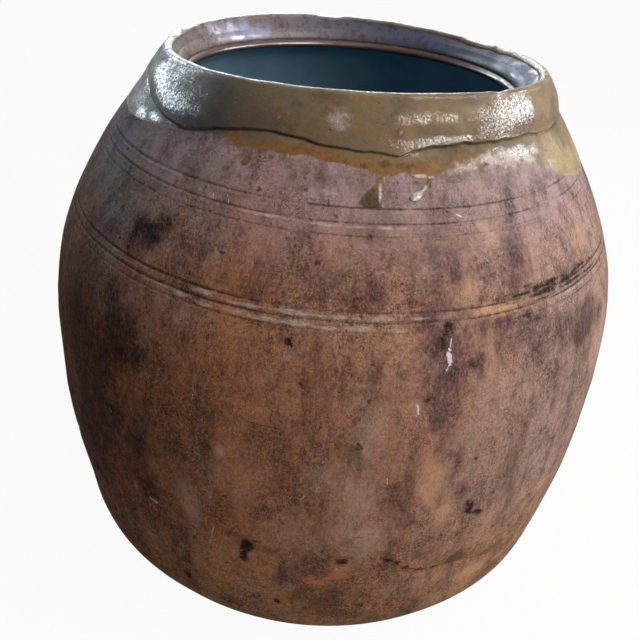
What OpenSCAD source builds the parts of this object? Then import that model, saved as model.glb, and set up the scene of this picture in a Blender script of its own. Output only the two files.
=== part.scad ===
// Olive jar: a squat stoneware jar, thrown in sections that are luted together,
// with a folded collar round its mouth, a glazed rim and a glazed inside.
// Millimetres. The base stands on z = 0 and the jar's axis is Z.
// Angles round the jar are in degrees from the front (-Y) towards the right (+X).

/* [Base and foot] */
// Diameter of the flat base at its edge
base_diameter = 345.2; // [320:0.2:360]
// Thickness of the base disc
base_thickness = 16; // [10:0.5:22]
// Slant of the base disc's edge, measured along the radius
base_slant = 8; // [3:0.5:14]
// Rounding of the base's lower edge
base_edge = 3; // [1:0.5:6]
// Lean of the wall where it leaves the base, from vertical
base_lean = 34; // [20:1:42]
// Height of the knee where the foot turns up
knee_height = 24; // [16:1:34]
// How far the wall spreads from the base to the knee
knee_spread = 13.8; // [8:0.2:20]
// Lean of the wall at the knee
knee_lean = 14; // [6:1:20]
// Height of the foot section, up to its seam
foot_height = 72; // [54:1:96]
// Diameter at the foot's seam
foot_diameter = 389.4; // [380:0.2:396]
// Lean of the wall at the foot's seam
foot_lean = 9; // [4:1:14]

/* [Body] */
// Thickness of the wall, square to its face
wall = 12; // [9:0.5:14]
// Height of the widest point above the foot's seam
belly_rise = 74; // [50:1:110]
// Widest diameter
belly_diameter = 400; // [392:0.5:420]
// Height of the belly section, from the foot's seam to the belt
belly_height = 180; // [150:1:220]
// Diameter at the belt
belt_diameter = 365.8; // [345:0.2:380]
// Lean of the wall at the belt
belt_lean = 24.6; // [16:0.2:32]
// Height of the shoulder section, from the belt to the neck
shoulder_height = 73; // [60:1:90]
// Diameter at the neck, where the collar sits
neck_diameter = 273.6; // [264:0.2:288]
// Lean of the wall at the neck
neck_lean = 38.6; // [30:0.2:45]
// Height of the slanted faces where two sections are luted together
lute_slant = 6; // [2:0.5:10]

/* [Turned lines] */
// Depth of the lines that were cut while the jar turned
line_depth = 1.4; // [0.6:0.1:2.4]
// Half-width of those lines at the surface
line_half_width = 1.6; // [1:0.1:2.2]
// Gap between the two lines of the belt
belt_gap = 5; // [4:0.5:10]
// Drop from the neck to the first line under the collar
neck_line_drop = 22; // [16:0.5:30]
// Gap between the lines under the collar
neck_line_gap = 6.5; // [4.5:0.5:9]
// Number of lines under the collar
neck_line_count = 3; // [1:1:4]

/* [Mouth] */
// Diameter at the throat's ridge
throat_diameter = 215; // [204:0.5:222]
// Height of the throat's ridge above the neck
throat_height = 5.3; // [4:0.1:7]
// Rounding of the throat's ridge
throat_round = 2.4; // [1.5:0.1:3]
// Height of the neck ring
ring_height = 16; // [12:0.5:16.5]
// Width of the neck ring's top
ring_top_width = 7; // [4:0.5:9]
// Width of the neck's edge that the collar stands on
collar_seat = 6.4; // [4.5:0.1:8]

/* [Collar] */
// Mean height of the lip above the neck
lip_height = 25.6; // [24:0.2:32]
// Mean diameter of the lip's crest
lip_diameter = 240; // [232:0.5:248]
// Rounding of the lip
lip_round = 4; // [3:0.1:5]
// How far the lip stands off centre, to the right
lip_offset = 2.5; // [0:0.1:4]
// Rise of the lip towards the front
lip_rise = 1.9; // [0:0.1:3]
// Twist of the lip, which lifts it in two places
lip_twist = 1.8; // [0:0.1:3]
// Angle of one of those two places
lip_twist_angle = 21; // [-180:1:180]
// How far the folded edge stands out past the neck
fold_overhang = 0.9; // [0.3:0.1:2.5]
// Rounding of the folded edge
fold_round = 2.5; // [1.5:0.1:3]
// Depth of the crease under the folded edge
fold_depth = 4; // [3.2:0.1:5]
// Least height of the folded edge above the neck
fold_rise = 0.5; // [0.3:0.1:3]
// Waves of the folded edge, up and down
fold_wave = 2.1; // [0:0.1:3]
// Number of those waves round the jar
fold_lobes = 9; // [3:1:12]
// Angle of one crest of those waves
fold_angle = 27; // [-180:1:180]
// Swelling of the collar's face
collar_bulge = 1.4; // [0:0.1:3]

/* [Glaze] */
// Thickness of the glaze
glaze = 1; // [0.8:0.1:1.6]
// Least reach of the glaze below the neck
glaze_reach = 4.5; // [3:0.5:8]
// How much further the glaze ran on its low side
glaze_sag = 20; // [6:0.5:24]
// Angle of that low side
glaze_sag_angle = 90; // [-180:1:180]
// Waves of the glaze's lower edge
glaze_ripple = 1.2; // [0:0.1:2]
// Number of those waves round the jar
glaze_waves = 13; // [5:1:20]
// Thickness of the glaze runs at their middle
run_thickness = 1.6; // [1:0.1:2.5]
// Angles of the glaze runs
run_angles = [-21, 7, 15.5]; // [-180:0.5:180]
// Lengths of the glaze runs
run_lengths = [5, 11.5, 7.5]; // [3:0.5:14]
// Widths of the glaze runs
run_widths = [7, 12, 8]; // [4:0.5:14]

/* [Hidden] */
$fn = 180;

clay = [0.47, 0.30, 0.22];
dark_clay = [0.40, 0.26, 0.20];
olive_glaze = [0.36, 0.27, 0.11];
run_glaze = [0.42, 0.22, 0.07];
inside_glaze = [0.10, 0.12, 0.14];

// Heights of the seams
z_foot = foot_height;
z_belly = z_foot + belly_rise;
z_belt = z_foot + belly_height;
z_neck = z_belt + shoulder_height;

// Wall stations: height, radius and slope of the outer face
stations = [
    [0, base_diameter / 2, tan(base_lean)],
    [knee_height, base_diameter / 2 + knee_spread, tan(knee_lean)],
    [z_foot, foot_diameter / 2, tan(foot_lean)],
    [z_belly, belly_diameter / 2, 0],
    [z_belt, belt_diameter / 2, -tan(belt_lean)],
    [z_neck, neck_diameter / 2, -tan(neck_lean)]
];

// Steps along each profile between two seams
profile_steps = 14;
// Steps round the collar, up its face, over its lip, and down the glaze on the shoulder
collar_steps = 90;
face_steps = 4;
lip_steps = 4;
strip_steps = 3;
// Steps of the base's rounded edge and of the throat's ridge
edge_steps = 3;
throat_steps = 5;
// Steps along a glaze run and round it, and sides of a turned line's round bottom
run_steps = 8;
run_sides = 10;
line_sides = 32;
// Sides of a many-sided ring lie on the round face inside it
ring_fit = 1 / cos(180 / collar_steps);
// Points nearer than this are one point, and slopes are taken over this height
same_point = 0.001;
slope_step = 0.01;
// Angles where the throat's rounding starts below and ends above
throat_under = 250;
throat_over = 150;
// Angle where the collar's face passes into the lip's rounding
lip_start = 35;
// Angle where the folded edge's rounding passes into the collar's face
fold_end = 45;
// How closely the glaze's low side is gathered round its angle
sag_focus = 3;
// Tiny gaps that keep a glaze run on its wall and under the glaze's edge
run_seat = 0.05;
run_gap = 0.2;
// Shape of a run: how low its fattest part hangs, how full its sides are, and what its ends keep
run_hang = 1.4;
run_fullness = 0.7;
run_end = 0.3;

// The outer face is a smooth curve through the stations
function span_at(z, i = 0) =
    i == len(stations) - 2 || z <= stations[i + 1][0] ? i : span_at(z, i + 1);
function curve_r(a, b, t) =
    let (h = b[0] - a[0])
    (2 * t^3 - 3 * t^2 + 1) * a[1] + (t^3 - 2 * t^2 + t) * h * a[2]
    + (3 * t^2 - 2 * t^3) * b[1] + (t^3 - t^2) * h * b[2];
function outer_r(z) =
    let (i = span_at(z), a = stations[i], b = stations[i + 1])
    curve_r(a, b, (z - a[0]) / (b[0] - a[0]));
function outer_slope(z) =
    let (low = max(z - slope_step, 0), high = min(z + slope_step, z_neck))
    (outer_r(high) - outer_r(low)) / (high - low);
function inner_r(z) = outer_r(z) - wall * sqrt(1 + outer_slope(z)^2);

function mix(a, b, t) = a + (b - a) * t;
function outer_path(z1, z2) =
    [for (k = [0 : profile_steps]) let (z = mix(z1, z2, k / profile_steps)) [outer_r(z), z]];
function inner_path(z1, z2) =
    [for (k = [0 : profile_steps]) let (z = mix(z1, z2, k / profile_steps)) [inner_r(z), z]];

// Points set off square to a path, towards its left
function path_normal(p, i) =
    let (a = p[max(i - 1, 0)], b = p[min(i + 1, len(p) - 1)], d = b - a)
    [-d[1], d[0]] / norm(d);
function set_off(p, gap) = [for (i = [0 : len(p) - 1]) p[i] + gap * path_normal(p, i)];
function reversed(p) = [for (i = [len(p) - 1 : -1 : 0]) p[i]];

// Base: the disc sits in the foot like a plug, wider at the top
disc_top_r = inner_r(base_thickness);
disc_bottom_r = disc_top_r - base_slant;
base_flat_r = base_diameter / 2 - base_edge;
base_arc = [for (k = [0 : edge_steps - 1]) let (t = 90 * k / edge_steps)
    [mix(base_flat_r, outer_r(base_edge), sin(t)), base_edge * (1 - cos(t))]];

// Mouth: the neck ring's inner face runs from the throat up to the lip
throat_r = throat_diameter / 2;
seat_in_r = inner_r(z_neck);
ring_foot_r = neck_diameter / 2 - collar_seat;
lip_in_r = lip_diameter / 2 - lip_round;
rim_share = (ring_height - throat_height) / (lip_height - lip_round - throat_height);
ring_in_r = mix(throat_r, lip_in_r, rim_share);
ring_out_r = ring_in_r + ring_top_width;
z_ring = z_neck + ring_height;
throat_arc = [for (k = [0 : throat_steps]) let (t = mix(throat_under, throat_over, k / throat_steps))
    [throat_r + throat_round + throat_round * cos(t), z_neck + throat_height + throat_round * sin(t)]];
mouth_path = concat([[seat_in_r, z_neck]], throat_arc, [[ring_in_r, z_ring]]);

// Collar: sizes that change round the jar
function lip_z(a) =
    z_neck + lip_height + lip_rise * cos(a) + lip_twist * cos(2 * (a - lip_twist_angle));
function lip_r(a) = lip_diameter / 2 + lip_offset * sin(a);
function fold_z(a) = z_neck + fold_rise + fold_wave * (1 + cos(fold_lobes * (a - fold_angle)));
fold_r = neck_diameter / 2 + fold_overhang;
crease_r = fold_r - fold_depth;

function lip_arc(a, grow = 0) = [for (k = [0 : lip_steps]) let (t = mix(lip_start, 180, k / lip_steps))
    [lip_r(a) + (lip_round + grow) * cos(t), lip_z(a) - lip_round + (lip_round + grow) * sin(t)]];
function fold_arc(a, from, grow = 0) = [for (t = [from : fold_end : fold_end])
    [fold_r - fold_round + (fold_round + grow) * cos(t),
     fold_z(a) + fold_round + (fold_round + grow) * sin(t)]];
function collar_face(a, grow = 0) =
    let (low = fold_arc(a, fold_end, grow)[0], high = lip_arc(a, grow)[0])
    [for (k = [1 : face_steps - 1]) let (t = k / face_steps)
        [mix(low[0], high[0], t) + collar_bulge * sin(180 * t), mix(low[1], high[1], t)]];
// Folded edge, face, lip and rim of the collar, from below to the top of the neck ring
function collar_skin(a) =
    concat(fold_arc(a, -90), collar_face(a), lip_arc(a), [[ring_in_r, z_ring]]);
function collar_section(a) = concat(
    [[ring_foot_r * ring_fit, z_neck], [crease_r, z_neck], [crease_r, fold_z(a)]],
    collar_skin(a), [[ring_out_r * ring_fit, z_ring]]);

// Inside of the jar, from the top of the neck ring down to the middle of the base, and its glaze
function without_repeats(p) =
    [for (i = [0 : len(p) - 1]) if (i == 0 || norm(p[i] - p[max(i - 1, 0)]) > same_point) p[i]];
inside_face = without_repeats(concat(
    reversed(mouth_path), reversed(inner_path(z_belt + lute_slant, z_neck)),
    reversed(inner_path(z_foot + lute_slant, z_belt + lute_slant)),
    reversed(inner_path(base_thickness, z_foot + lute_slant)), [[0, base_thickness]]));
inside_lining = set_off(inside_face, -glaze);

// Collar glaze: it covers the collar, fills the crease and runs down the shoulder
function glaze_edge_z(a) =
    z_neck - glaze_reach - glaze_sag * ((1 + cos(a - glaze_sag_angle)) / 2)^sag_focus
    - glaze_ripple * (1 + cos(glaze_waves * a));
function shoulder_strip(a, grow = 0) = [for (k = [0 : strip_steps])
    let (z = mix(glaze_edge_z(a), z_neck, k / strip_steps), n = sqrt(1 + outer_slope(z)^2))
    [outer_r(z) * ring_fit + grow / n, z - grow * outer_slope(z) / n]];
function glaze_section(a) = concat(
    shoulder_strip(a), [[crease_r, z_neck], [crease_r, fold_z(a)]], collar_skin(a),
    reversed(concat(shoulder_strip(a, glaze), fold_arc(a, 0, glaze), collar_face(a, glaze),
                    lip_arc(a, glaze), [inside_lining[0]])));

// A point of the jar from its angle, radius and height
function at(a, p) = [p[0] * sin(a), -p[0] * cos(a), p[1]];

// Skin of a tube whose loops all have m points; a closed one joins its last loop to its first
function tube_faces(n, m, closed) = [for (i = [0 : closed ? n - 1 : n - 2], j = [0 : m - 1], s = [0, 1])
    let (k = (i + 1) % n, l = (j + 1) % m)
    s == 0 ? [i * m + j, i * m + l, k * m + l] : [i * m + j, k * m + l, k * m + j]];
// Ring of cross-sections; clockwise ones are turned about, so that two rings can share the same facets
module round_sweep(sections, clockwise = false) {
    m = len(sections[0]);
    n = len(sections);
    points = [for (i = [0 : n - 1], p = sections[i]) at(360 * i / n, p)];
    faces = tube_faces(n, m, true);
    polyhedron(points, clockwise ? [for (f = faces) reversed(f)] : faces);
}

// One turned line, as a groove with a round bottom
module turned_line(z) {
    round_r = (line_half_width^2 + line_depth^2) / (2 * line_depth);
    n = sqrt(1 + outer_slope(z)^2);
    lift = round_r - line_depth;
    rotate_extrude()
        translate([outer_r(z) + lift / n, z - lift * outer_slope(z) / n])
            circle(round_r, $fn = line_sides);
}

// One run of glaze that slid down the shoulder and set there
module glaze_run(angle, length, width) {
    top = glaze_edge_z(angle) - run_gap;
    loops = [for (k = [0 : run_steps])
        let (t = k / run_steps, z = top - length * t, swell = sin(180 * t^run_hang),
             half = width / 2 * mix(run_end, 1, swell^run_fullness),
             thick = run_thickness * mix(run_end, 1, swell))
        [for (j = [0 : run_sides - 1])
            let (turn = 360 * j / run_sides, side = -half * cos(turn),
                 lift = run_seat + thick * max(0, sin(turn)))
            at(angle + side / outer_r(z) * 180 / PI, [outer_r(z) + lift, z])]];
    last = run_steps * run_sides;
    caps = [[for (j = [run_sides - 1 : -1 : 0]) j], [for (j = [0 : run_sides - 1]) last + j]];
    polyhedron([for (loop = loops, p = loop) p],
               concat(tube_faces(run_steps + 1, run_sides, false), caps));
}

// Flat clay disc that closes the bottom
module base_disc() {
    color(dark_clay)
        rotate_extrude()
            polygon([[0, 0], [disc_bottom_r, 0], [disc_top_r, base_thickness], [0, base_thickness]]);
}

// Foot: the first section of the wall, with the seat of the base disc
module foot_section() {
    color(dark_clay)
        rotate_extrude()
            polygon(concat(
                [[disc_bottom_r, 0]], base_arc, outer_path(base_edge, z_foot),
                reversed(inner_path(base_thickness, z_foot + lute_slant))));
}

// Belly: the widest section, luted on the foot
module belly_section() {
    color(clay)
        difference() {
            rotate_extrude()
                polygon(concat(
                    outer_path(z_foot, z_belt),
                    reversed(inner_path(z_foot + lute_slant, z_belt + lute_slant))));
            turned_line(z_belt);
        }
}

// Shoulder: closes in to the neck and carries the turned lines
module shoulder_section() {
    color(clay)
        difference() {
            rotate_extrude()
                polygon(concat(
                    outer_path(z_belt, z_neck),
                    reversed(inner_path(z_belt + lute_slant, z_neck))));
            for (z = [z_belt, z_belt + belt_gap]) turned_line(z);
            for (k = [0 : neck_line_count - 1]) turned_line(z_neck - neck_line_drop - k * neck_line_gap);
        }
}

// Neck ring: stands on the neck's inner edge and makes the throat's ridge
module neck_ring() {
    color(dark_clay)
        rotate_extrude()
            polygon(concat(mouth_path, [[ring_out_r, z_ring], [ring_foot_r, z_neck]]));
}

// Collar: a band of clay folded over the neck ring, with a wavy lower edge and a warped lip
module collar_band() {
    sections = [for (i = [0 : collar_steps - 1]) collar_section(360 * i / collar_steps)];
    color(clay)
        round_sweep(sections);
}

// Glaze on the collar and the top of the shoulder
module collar_glaze() {
    sections = [for (i = [0 : collar_steps - 1]) glaze_section(360 * i / collar_steps)];
    color(olive_glaze)
        round_sweep(sections, clockwise = true);
}

// Runs of glaze below its edge
module glaze_runs() {
    color(run_glaze)
        for (k = [0 : len(run_angles) - 1]) glaze_run(run_angles[k], run_lengths[k], run_widths[k]);
}

// Glaze that lines the inside, from the rim to the base
module interior_glaze() {
    color(inside_glaze)
        rotate_extrude()
            polygon(concat(inside_face, reversed(inside_lining)));
}

base_disc();
foot_section();
belly_section();
shoulder_section();
neck_ring();
collar_band();
collar_glaze();
glaze_runs();
interior_glaze();
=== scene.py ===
# %% [markdown]
# # An old olive jar
# The jar was thrown in sections on a wheel, luted together, and closed with a folded collar.
# Its collar was dipped in an olive-brown glaze, and its inside was coated with a dark one.
# The CAD frame holds the sizes. This lesson models each section as a potter would, then builds the
# fired clay, the glaze and the stains of long use from shader nodes.

# %% Load the frame
import math
import random

import bpy
import numpy as np
from mathutils import Matrix, Vector


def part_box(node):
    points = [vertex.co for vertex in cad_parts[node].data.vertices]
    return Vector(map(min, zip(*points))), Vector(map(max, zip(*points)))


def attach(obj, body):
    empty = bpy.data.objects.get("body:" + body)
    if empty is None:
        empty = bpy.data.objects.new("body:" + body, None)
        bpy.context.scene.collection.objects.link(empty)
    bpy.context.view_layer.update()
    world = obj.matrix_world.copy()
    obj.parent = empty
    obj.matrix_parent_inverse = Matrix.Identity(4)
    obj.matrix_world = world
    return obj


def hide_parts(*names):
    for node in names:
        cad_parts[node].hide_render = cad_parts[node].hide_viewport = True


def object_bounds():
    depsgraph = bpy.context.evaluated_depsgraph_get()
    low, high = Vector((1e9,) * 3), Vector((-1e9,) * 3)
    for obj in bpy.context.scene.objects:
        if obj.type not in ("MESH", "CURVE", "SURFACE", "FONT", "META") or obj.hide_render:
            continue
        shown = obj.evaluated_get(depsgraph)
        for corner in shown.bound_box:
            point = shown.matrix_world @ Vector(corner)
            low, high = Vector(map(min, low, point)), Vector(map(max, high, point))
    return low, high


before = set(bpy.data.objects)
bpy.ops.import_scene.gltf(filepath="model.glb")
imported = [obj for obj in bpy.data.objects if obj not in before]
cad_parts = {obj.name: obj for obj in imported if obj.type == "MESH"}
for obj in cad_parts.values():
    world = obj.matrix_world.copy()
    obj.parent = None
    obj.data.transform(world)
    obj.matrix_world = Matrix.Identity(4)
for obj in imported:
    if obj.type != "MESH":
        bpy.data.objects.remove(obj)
cad_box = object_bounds()
print("CAD nodes:", sorted(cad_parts))

# %% [markdown]
# ## Camera
# The photograph looks down into the mouth from a little above the rim, with the camera rolled slightly.
# A camera could be aimed with a Track To constraint, but a constraint can't hold the roll.
# So its three axes are worked out from yaw, pitch and roll, and set as one matrix.

# %% Camera
CAMERA_PLACE = Vector((0, -0.51525, 0.45279))
CAMERA_YAW = math.radians(-0.774)
CAMERA_PITCH = math.radians(31.041)
CAMERA_ROLL = math.radians(4.704)
SENSOR_WIDTH = 36.0
FOCAL_LENGTH = 42.75

look = Vector((
    math.sin(CAMERA_YAW) * math.cos(CAMERA_PITCH),
    math.cos(CAMERA_YAW) * math.cos(CAMERA_PITCH),
    -math.sin(CAMERA_PITCH),
))
level_right = Vector((math.cos(CAMERA_YAW), -math.sin(CAMERA_YAW), 0))
level_up = level_right.cross(look)
right = level_right * math.cos(CAMERA_ROLL) + level_up * math.sin(CAMERA_ROLL)
up = level_up * math.cos(CAMERA_ROLL) - level_right * math.sin(CAMERA_ROLL)

bpy.ops.object.select_all(action="DESELECT")
bpy.ops.object.camera_add()
camera = bpy.context.active_object
camera.data.sensor_width = SENSOR_WIDTH
camera.data.lens = FOCAL_LENGTH
axes = Matrix((right, up, -look)).transposed()
camera.matrix_world = Matrix.Translation(CAMERA_PLACE) @ axes.to_4x4()
bpy.context.scene.camera = camera
bpy.context.scene.view_settings.view_transform = "Standard"
print("camera at", tuple(round(v, 3) for v in CAMERA_PLACE))

# %% [markdown]
# ## Shader helpers
# Every material below is a small tree of nodes. Adding nodes one call at a time is long-winded, so
# `place` adds a node, sets its options and fills its sockets with plain values or with links.
# Colours are written as a paint chart gives them, from 0 to 255, and turned into linear light.

# %% Shader helpers
def place(tree, kind, values=None, **options):
    made = tree.nodes.new(kind)
    for option, choice in options.items():
        setattr(made, option, choice)
    for socket, value in (values or {}).items():
        if isinstance(value, bpy.types.NodeSocket):
            tree.links.new(value, made.inputs[socket])
        else:
            made.inputs[socket].default_value = value
    return made


def chart(red, green, blue):
    def linear(value):
        share = value / 255
        return share / 12.92 if share <= 0.04045 else ((share + 0.055) / 1.055) ** 2.4

    return (linear(red), linear(green), linear(blue), 1)


def over(tree, mask, under, top):
    """The colour `top` laid over `under` where the mask is 1."""
    return place(tree, "ShaderNodeMix", {0: mask, 6: under, 7: top}, data_type="RGBA").outputs[2]


def sum_of(tree, operation, first, second):
    return place(tree, "ShaderNodeMath", {0: first, 1: second}, operation=operation).outputs[0]


def times(tree, first, second):
    return sum_of(tree, "MULTIPLY", first, second)


def rest_of(tree, mask):
    """What a mask leaves over: 1 where it is 0."""
    return sum_of(tree, "SUBTRACT", 1, mask)


def spread(tree, value, start, end, low=0, high=1, **options):
    """From `start` to `end`, while the value goes from `low` to `high`."""
    values = {0: value, 1: low, 2: high, 3: start, 4: end}
    return place(tree, "ShaderNodeMapRange", values, **options).outputs[0]


def noise(tree, position, per_metre, detail, roughness=0.5, output=0):
    return place(tree, "ShaderNodeTexNoise", {
        "Vector": position, "Scale": per_metre, "Detail": detail, "Roughness": roughness}).outputs[output]


def new_material(name):
    material = bpy.data.materials.new(name)
    material.use_nodes = True
    material.node_tree.nodes.clear()
    return material, material.node_tree


# %% [markdown]
# ## Floor, world and lights
# The jar stands alone on white. The floor is a pale plane that turns white to the camera, and to
# mirror-like rays so that the glaze reflects the same white. It still takes a share of the shadow.
# Four soft boxes light the clay: a key from the front right, and weaker ones behind, above and beside.
# Glaze shows the bright windows of a dark room. Those are lamps that only reflections can see, so that
# they draw glints on the collar and leave the clay alone.

# %% Floor and world
FLOOR_SIZE = 14
FLOOR_COLOUR = chart(170, 168, 166)
WHITE = (1, 1, 1, 1)
WHITE_SHARE = 0.9
WHITE_STRENGTH = 1.05


def background_rays(tree):
    path = place(tree, "ShaderNodeLightPath")
    seen = sum_of(tree, "MAXIMUM", path.outputs["Is Camera Ray"], path.outputs["Is Glossy Ray"])
    return sum_of(tree, "MAXIMUM", seen, path.outputs["Is Transmission Ray"])


bpy.ops.mesh.primitive_plane_add(size=FLOOR_SIZE)
floor = bpy.context.active_object
floor.name = "floor"
floor_paint, tree = new_material("pale_floor")
share = times(tree, background_rays(tree), WHITE_SHARE)
matt = place(tree, "ShaderNodeBsdfDiffuse", {"Color": FLOOR_COLOUR})
white = place(tree, "ShaderNodeEmission", {"Color": WHITE, "Strength": WHITE_STRENGTH})
mixed = place(tree, "ShaderNodeMixShader", {0: share, 1: matt.outputs[0], 2: white.outputs[0]})
place(tree, "ShaderNodeOutputMaterial", {0: mixed.outputs[0]})
floor.data.materials.append(floor_paint)

WORLD_COLOUR = (0.90, 0.95, 1.0, 1)
WORLD_LIGHT = 0.03
world = bpy.data.worlds.new("studio")
bpy.context.scene.world = world
world.use_nodes = True
tree = world.node_tree
tree.nodes.clear()
seen = background_rays(tree)
sky = place(tree, "ShaderNodeBackground", {
    "Color": over(tree, seen, WORLD_COLOUR, WHITE), "Strength": spread(tree, seen, WORLD_LIGHT, 1)})
place(tree, "ShaderNodeOutputWorld", {0: sky.outputs[0]})
print("floor", FLOOR_SIZE, "m wide, world light", WORLD_LIGHT)

# %% Soft boxes
AIM = Vector((0, 0, 0.22))


def soft_box(name, turn, rise, away, width, height, power, colour, only_gloss=False):
    """A soft box `turn` degrees to the right of the front and `rise` degrees up, facing the jar."""
    turn, rise = math.radians(turn), math.radians(rise)
    toward = Vector((math.sin(turn) * math.cos(rise), -math.cos(turn) * math.cos(rise), math.sin(rise)))
    bpy.ops.object.light_add(type="AREA", location=AIM + toward * away)
    lamp = bpy.context.active_object
    lamp.name = name
    lamp.rotation_euler = toward.to_track_quat("Z", "Y").to_euler()
    lamp.data.shape = "RECTANGLE"
    lamp.data.size = width
    lamp.data.size_y = height
    lamp.data.energy = power
    lamp.data.color = colour
    lamp.visible_diffuse = not only_gloss
    print(name, "at", tuple(round(v, 2) for v in lamp.location))


# Name, turn, rise, distance, width, height, power, colour
SOFT_BOXES = [
    ("key_light", 58, 40, 1.7, 1.2, 1.2, 27, (1, 0.97, 0.93)),
    ("back_light", 186, 36, 1.7, 1.6, 1.3, 7, (0.80, 0.90, 1)),
    ("top_light", 10, 84, 1.5, 0.9, 0.9, 5, (0.88, 0.95, 1)),
    ("right_light", 100, 22, 1.6, 0.40, 0.60, 4.5, (1, 0.98, 0.95)),
]
for box in SOFT_BOXES:
    soft_box(*box)

# %% Windows that only the gloss shows
WINDOW_AWAY = 1.6
# Name, turn, rise, width, height, brightness beside white, colour
WINDOWS = [
    ("left_window", -114, 20, 1.5, 0.55, 18, (0.80, 0.93, 1)),
    ("right_window", 101, 20, 1.1, 0.70, 21, (0.92, 0.95, 1)),
    ("front_window", 46, 36, 0.9, 0.55, 17, (1, 0.97, 0.95)),
    ("low_window", 46, 9, 1.1, 0.4, 34, (1, 0.98, 0.96)),
    ("back_window", -170, 30, 1.2, 1.2, 9, (0.82, 0.93, 1)),
]
for name, turn, rise, width, height, bright, colour in WINDOWS:
    power = bright * math.pi * width * height
    soft_box(name, turn, rise, WINDOW_AWAY, width, height, power, colour, only_gloss=True)

# %% [markdown]
# ## The jar's profile
# All the sections share one outline, from the base to the neck. It is a smooth curve through six
# stations, each with a height, a radius and a lean. The heights and radii that the CAD nodes show are
# read from their boxes, so the new pieces sit where the frame says.

# %% Sizes from the frame
MM = 0.001
NEAR = 1e-9
disc_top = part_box("base_disc")[1]
foot_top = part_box("foot_section")[1]
belly_low, belly_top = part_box("belly_section")
shoulder_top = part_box("shoulder_section")[1]
ring_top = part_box("neck_ring")[1]

FLOOR_HEIGHT = disc_top.z
SEAM_HEIGHT = belly_low.z
LUTE_SLANT = foot_top.z - SEAM_HEIGHT
BELT_HEIGHT = belly_top.z - LUTE_SLANT
NECK_HEIGHT = shoulder_top.z
RING_HEIGHT = ring_top.z
RING_FOOT_RADIUS = ring_top.x
WALL = 12 * MM
BASE_RADIUS = 172.6 * MM
BASE_EDGE = 3 * MM
DISC_SLANT = 8 * MM
NECK_RADIUS = 136.8 * MM
COLLAR_CONE = -0.6

# Height, radius and lean from vertical in degrees
STATIONS = [
    (0, BASE_RADIUS, 34),
    (24 * MM, 186.4 * MM, 14),
    (SEAM_HEIGHT, foot_top.x, 9),
    (146 * MM, belly_top.x, 0),
    (BELT_HEIGHT, 182.9 * MM, -24.6),
    (NECK_HEIGHT, NECK_RADIUS, -38.6),
]


def smooth_curve(t, start, end, rise, end_rise):
    """A curve from start to end while t goes from 0 to 1, with its rise at both ends."""
    return ((2 * t**3 - 3 * t**2 + 1) * start + (3 * t**2 - 2 * t**3) * end
            + (t**3 - 2 * t**2 + t) * rise + (t**3 - t**2) * end_rise)


def wall_radius(height):
    """Radius of the outer face at a height, or at an array of heights."""
    height = np.asarray(height, float)
    radius = NECK_RADIUS + COLLAR_CONE * (height - NECK_HEIGHT)
    for (low, start, lean), (high, end, end_lean) in zip(STATIONS, STATIONS[1:]):
        step = high - low
        rises = [step * math.tan(math.radians(slant)) for slant in (lean, end_lean)]
        curve = smooth_curve((height - low) / step, start, end, *rises)
        radius = np.where((height >= low - NEAR) & (height <= high + NEAR), curve, radius)
    return radius


def inner_radius(height):
    """Radius of the inner face, one wall thickness square to the outer one."""
    small = 0.05 * MM
    low = np.maximum(np.asarray(height, float) - small, 0)
    high = np.minimum(np.asarray(height, float) + small, NECK_HEIGHT)
    slope = (wall_radius(high) - wall_radius(low)) / (high - low)
    return wall_radius(height) - WALL * np.sqrt(1 + slope**2)


def on_wall(angle, height, radius=None):
    """Points of the jar: angles in degrees from the front towards the right."""
    turn = np.radians(angle)
    radius = wall_radius(height) if radius is None else radius
    return np.stack([radius * np.sin(turn), -radius * np.cos(turn), height + 0 * turn], axis=-1)


print("seam", SEAM_HEIGHT, "belt", BELT_HEIGHT, "neck", NECK_HEIGHT, "ring", RING_HEIGHT)

# %% [markdown]
# ## What the hands left
# A thrown wall is never a clean surface of revolution. It carries slow lumps where the hands pressed,
# fine ridges from the fingers, lines cut with a point while it turned, and damage from use.
# A Displace modifier with a texture could do the lumps, but not lines that follow the jar.
# So one rule gives the depth at any angle and height, and every section that it touches uses the same
# rule, which keeps the seams shut.

# %% Rules for the surface
HASH_PRIMES = np.array([374761393, 668265263, 1274126177])


def lumps(points, size, shift):
    """Smooth noise between about -1 and 1, with lumps of a given size."""
    place_in = points / size + shift
    cell = np.floor(place_in).astype(np.int64)
    inside = place_in - cell
    ease = inside * inside * (3 - 2 * inside)
    total = np.zeros(points.shape[:-1])
    for corner in np.ndindex(2, 2, 2):
        grid = cell + np.array(corner)
        mixed = (grid * HASH_PRIMES).sum(axis=-1)
        mixed = (mixed ^ (mixed >> 13)) * HASH_PRIMES[2]
        value = ((mixed ^ (mixed >> 16)) & 0xFFFF) / 0x7FFF - 1
        total += value * np.prod(np.where(corner, ease, 1 - ease), axis=-1)
    return total


def bell(distance, width):
    return np.exp(-((distance / width) ** 2))


def angle_between(angle, centre):
    return (np.asarray(angle, float) - centre + 180) % 360 - 180


def arc_from(angle, centre, radius):
    """Distance round the wall from a centre."""
    return np.radians(angle_between(angle, centre)) * radius


def layered(points, kinds):
    """Lumps of several kinds together: strength, size in millimetres and shift of each."""
    return sum(strength * lumps(points, size * MM, shift) for strength, size, shift in kinds)


def neck_spots(angle):
    return on_wall(angle, np.full_like(angle, NECK_HEIGHT))


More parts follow.
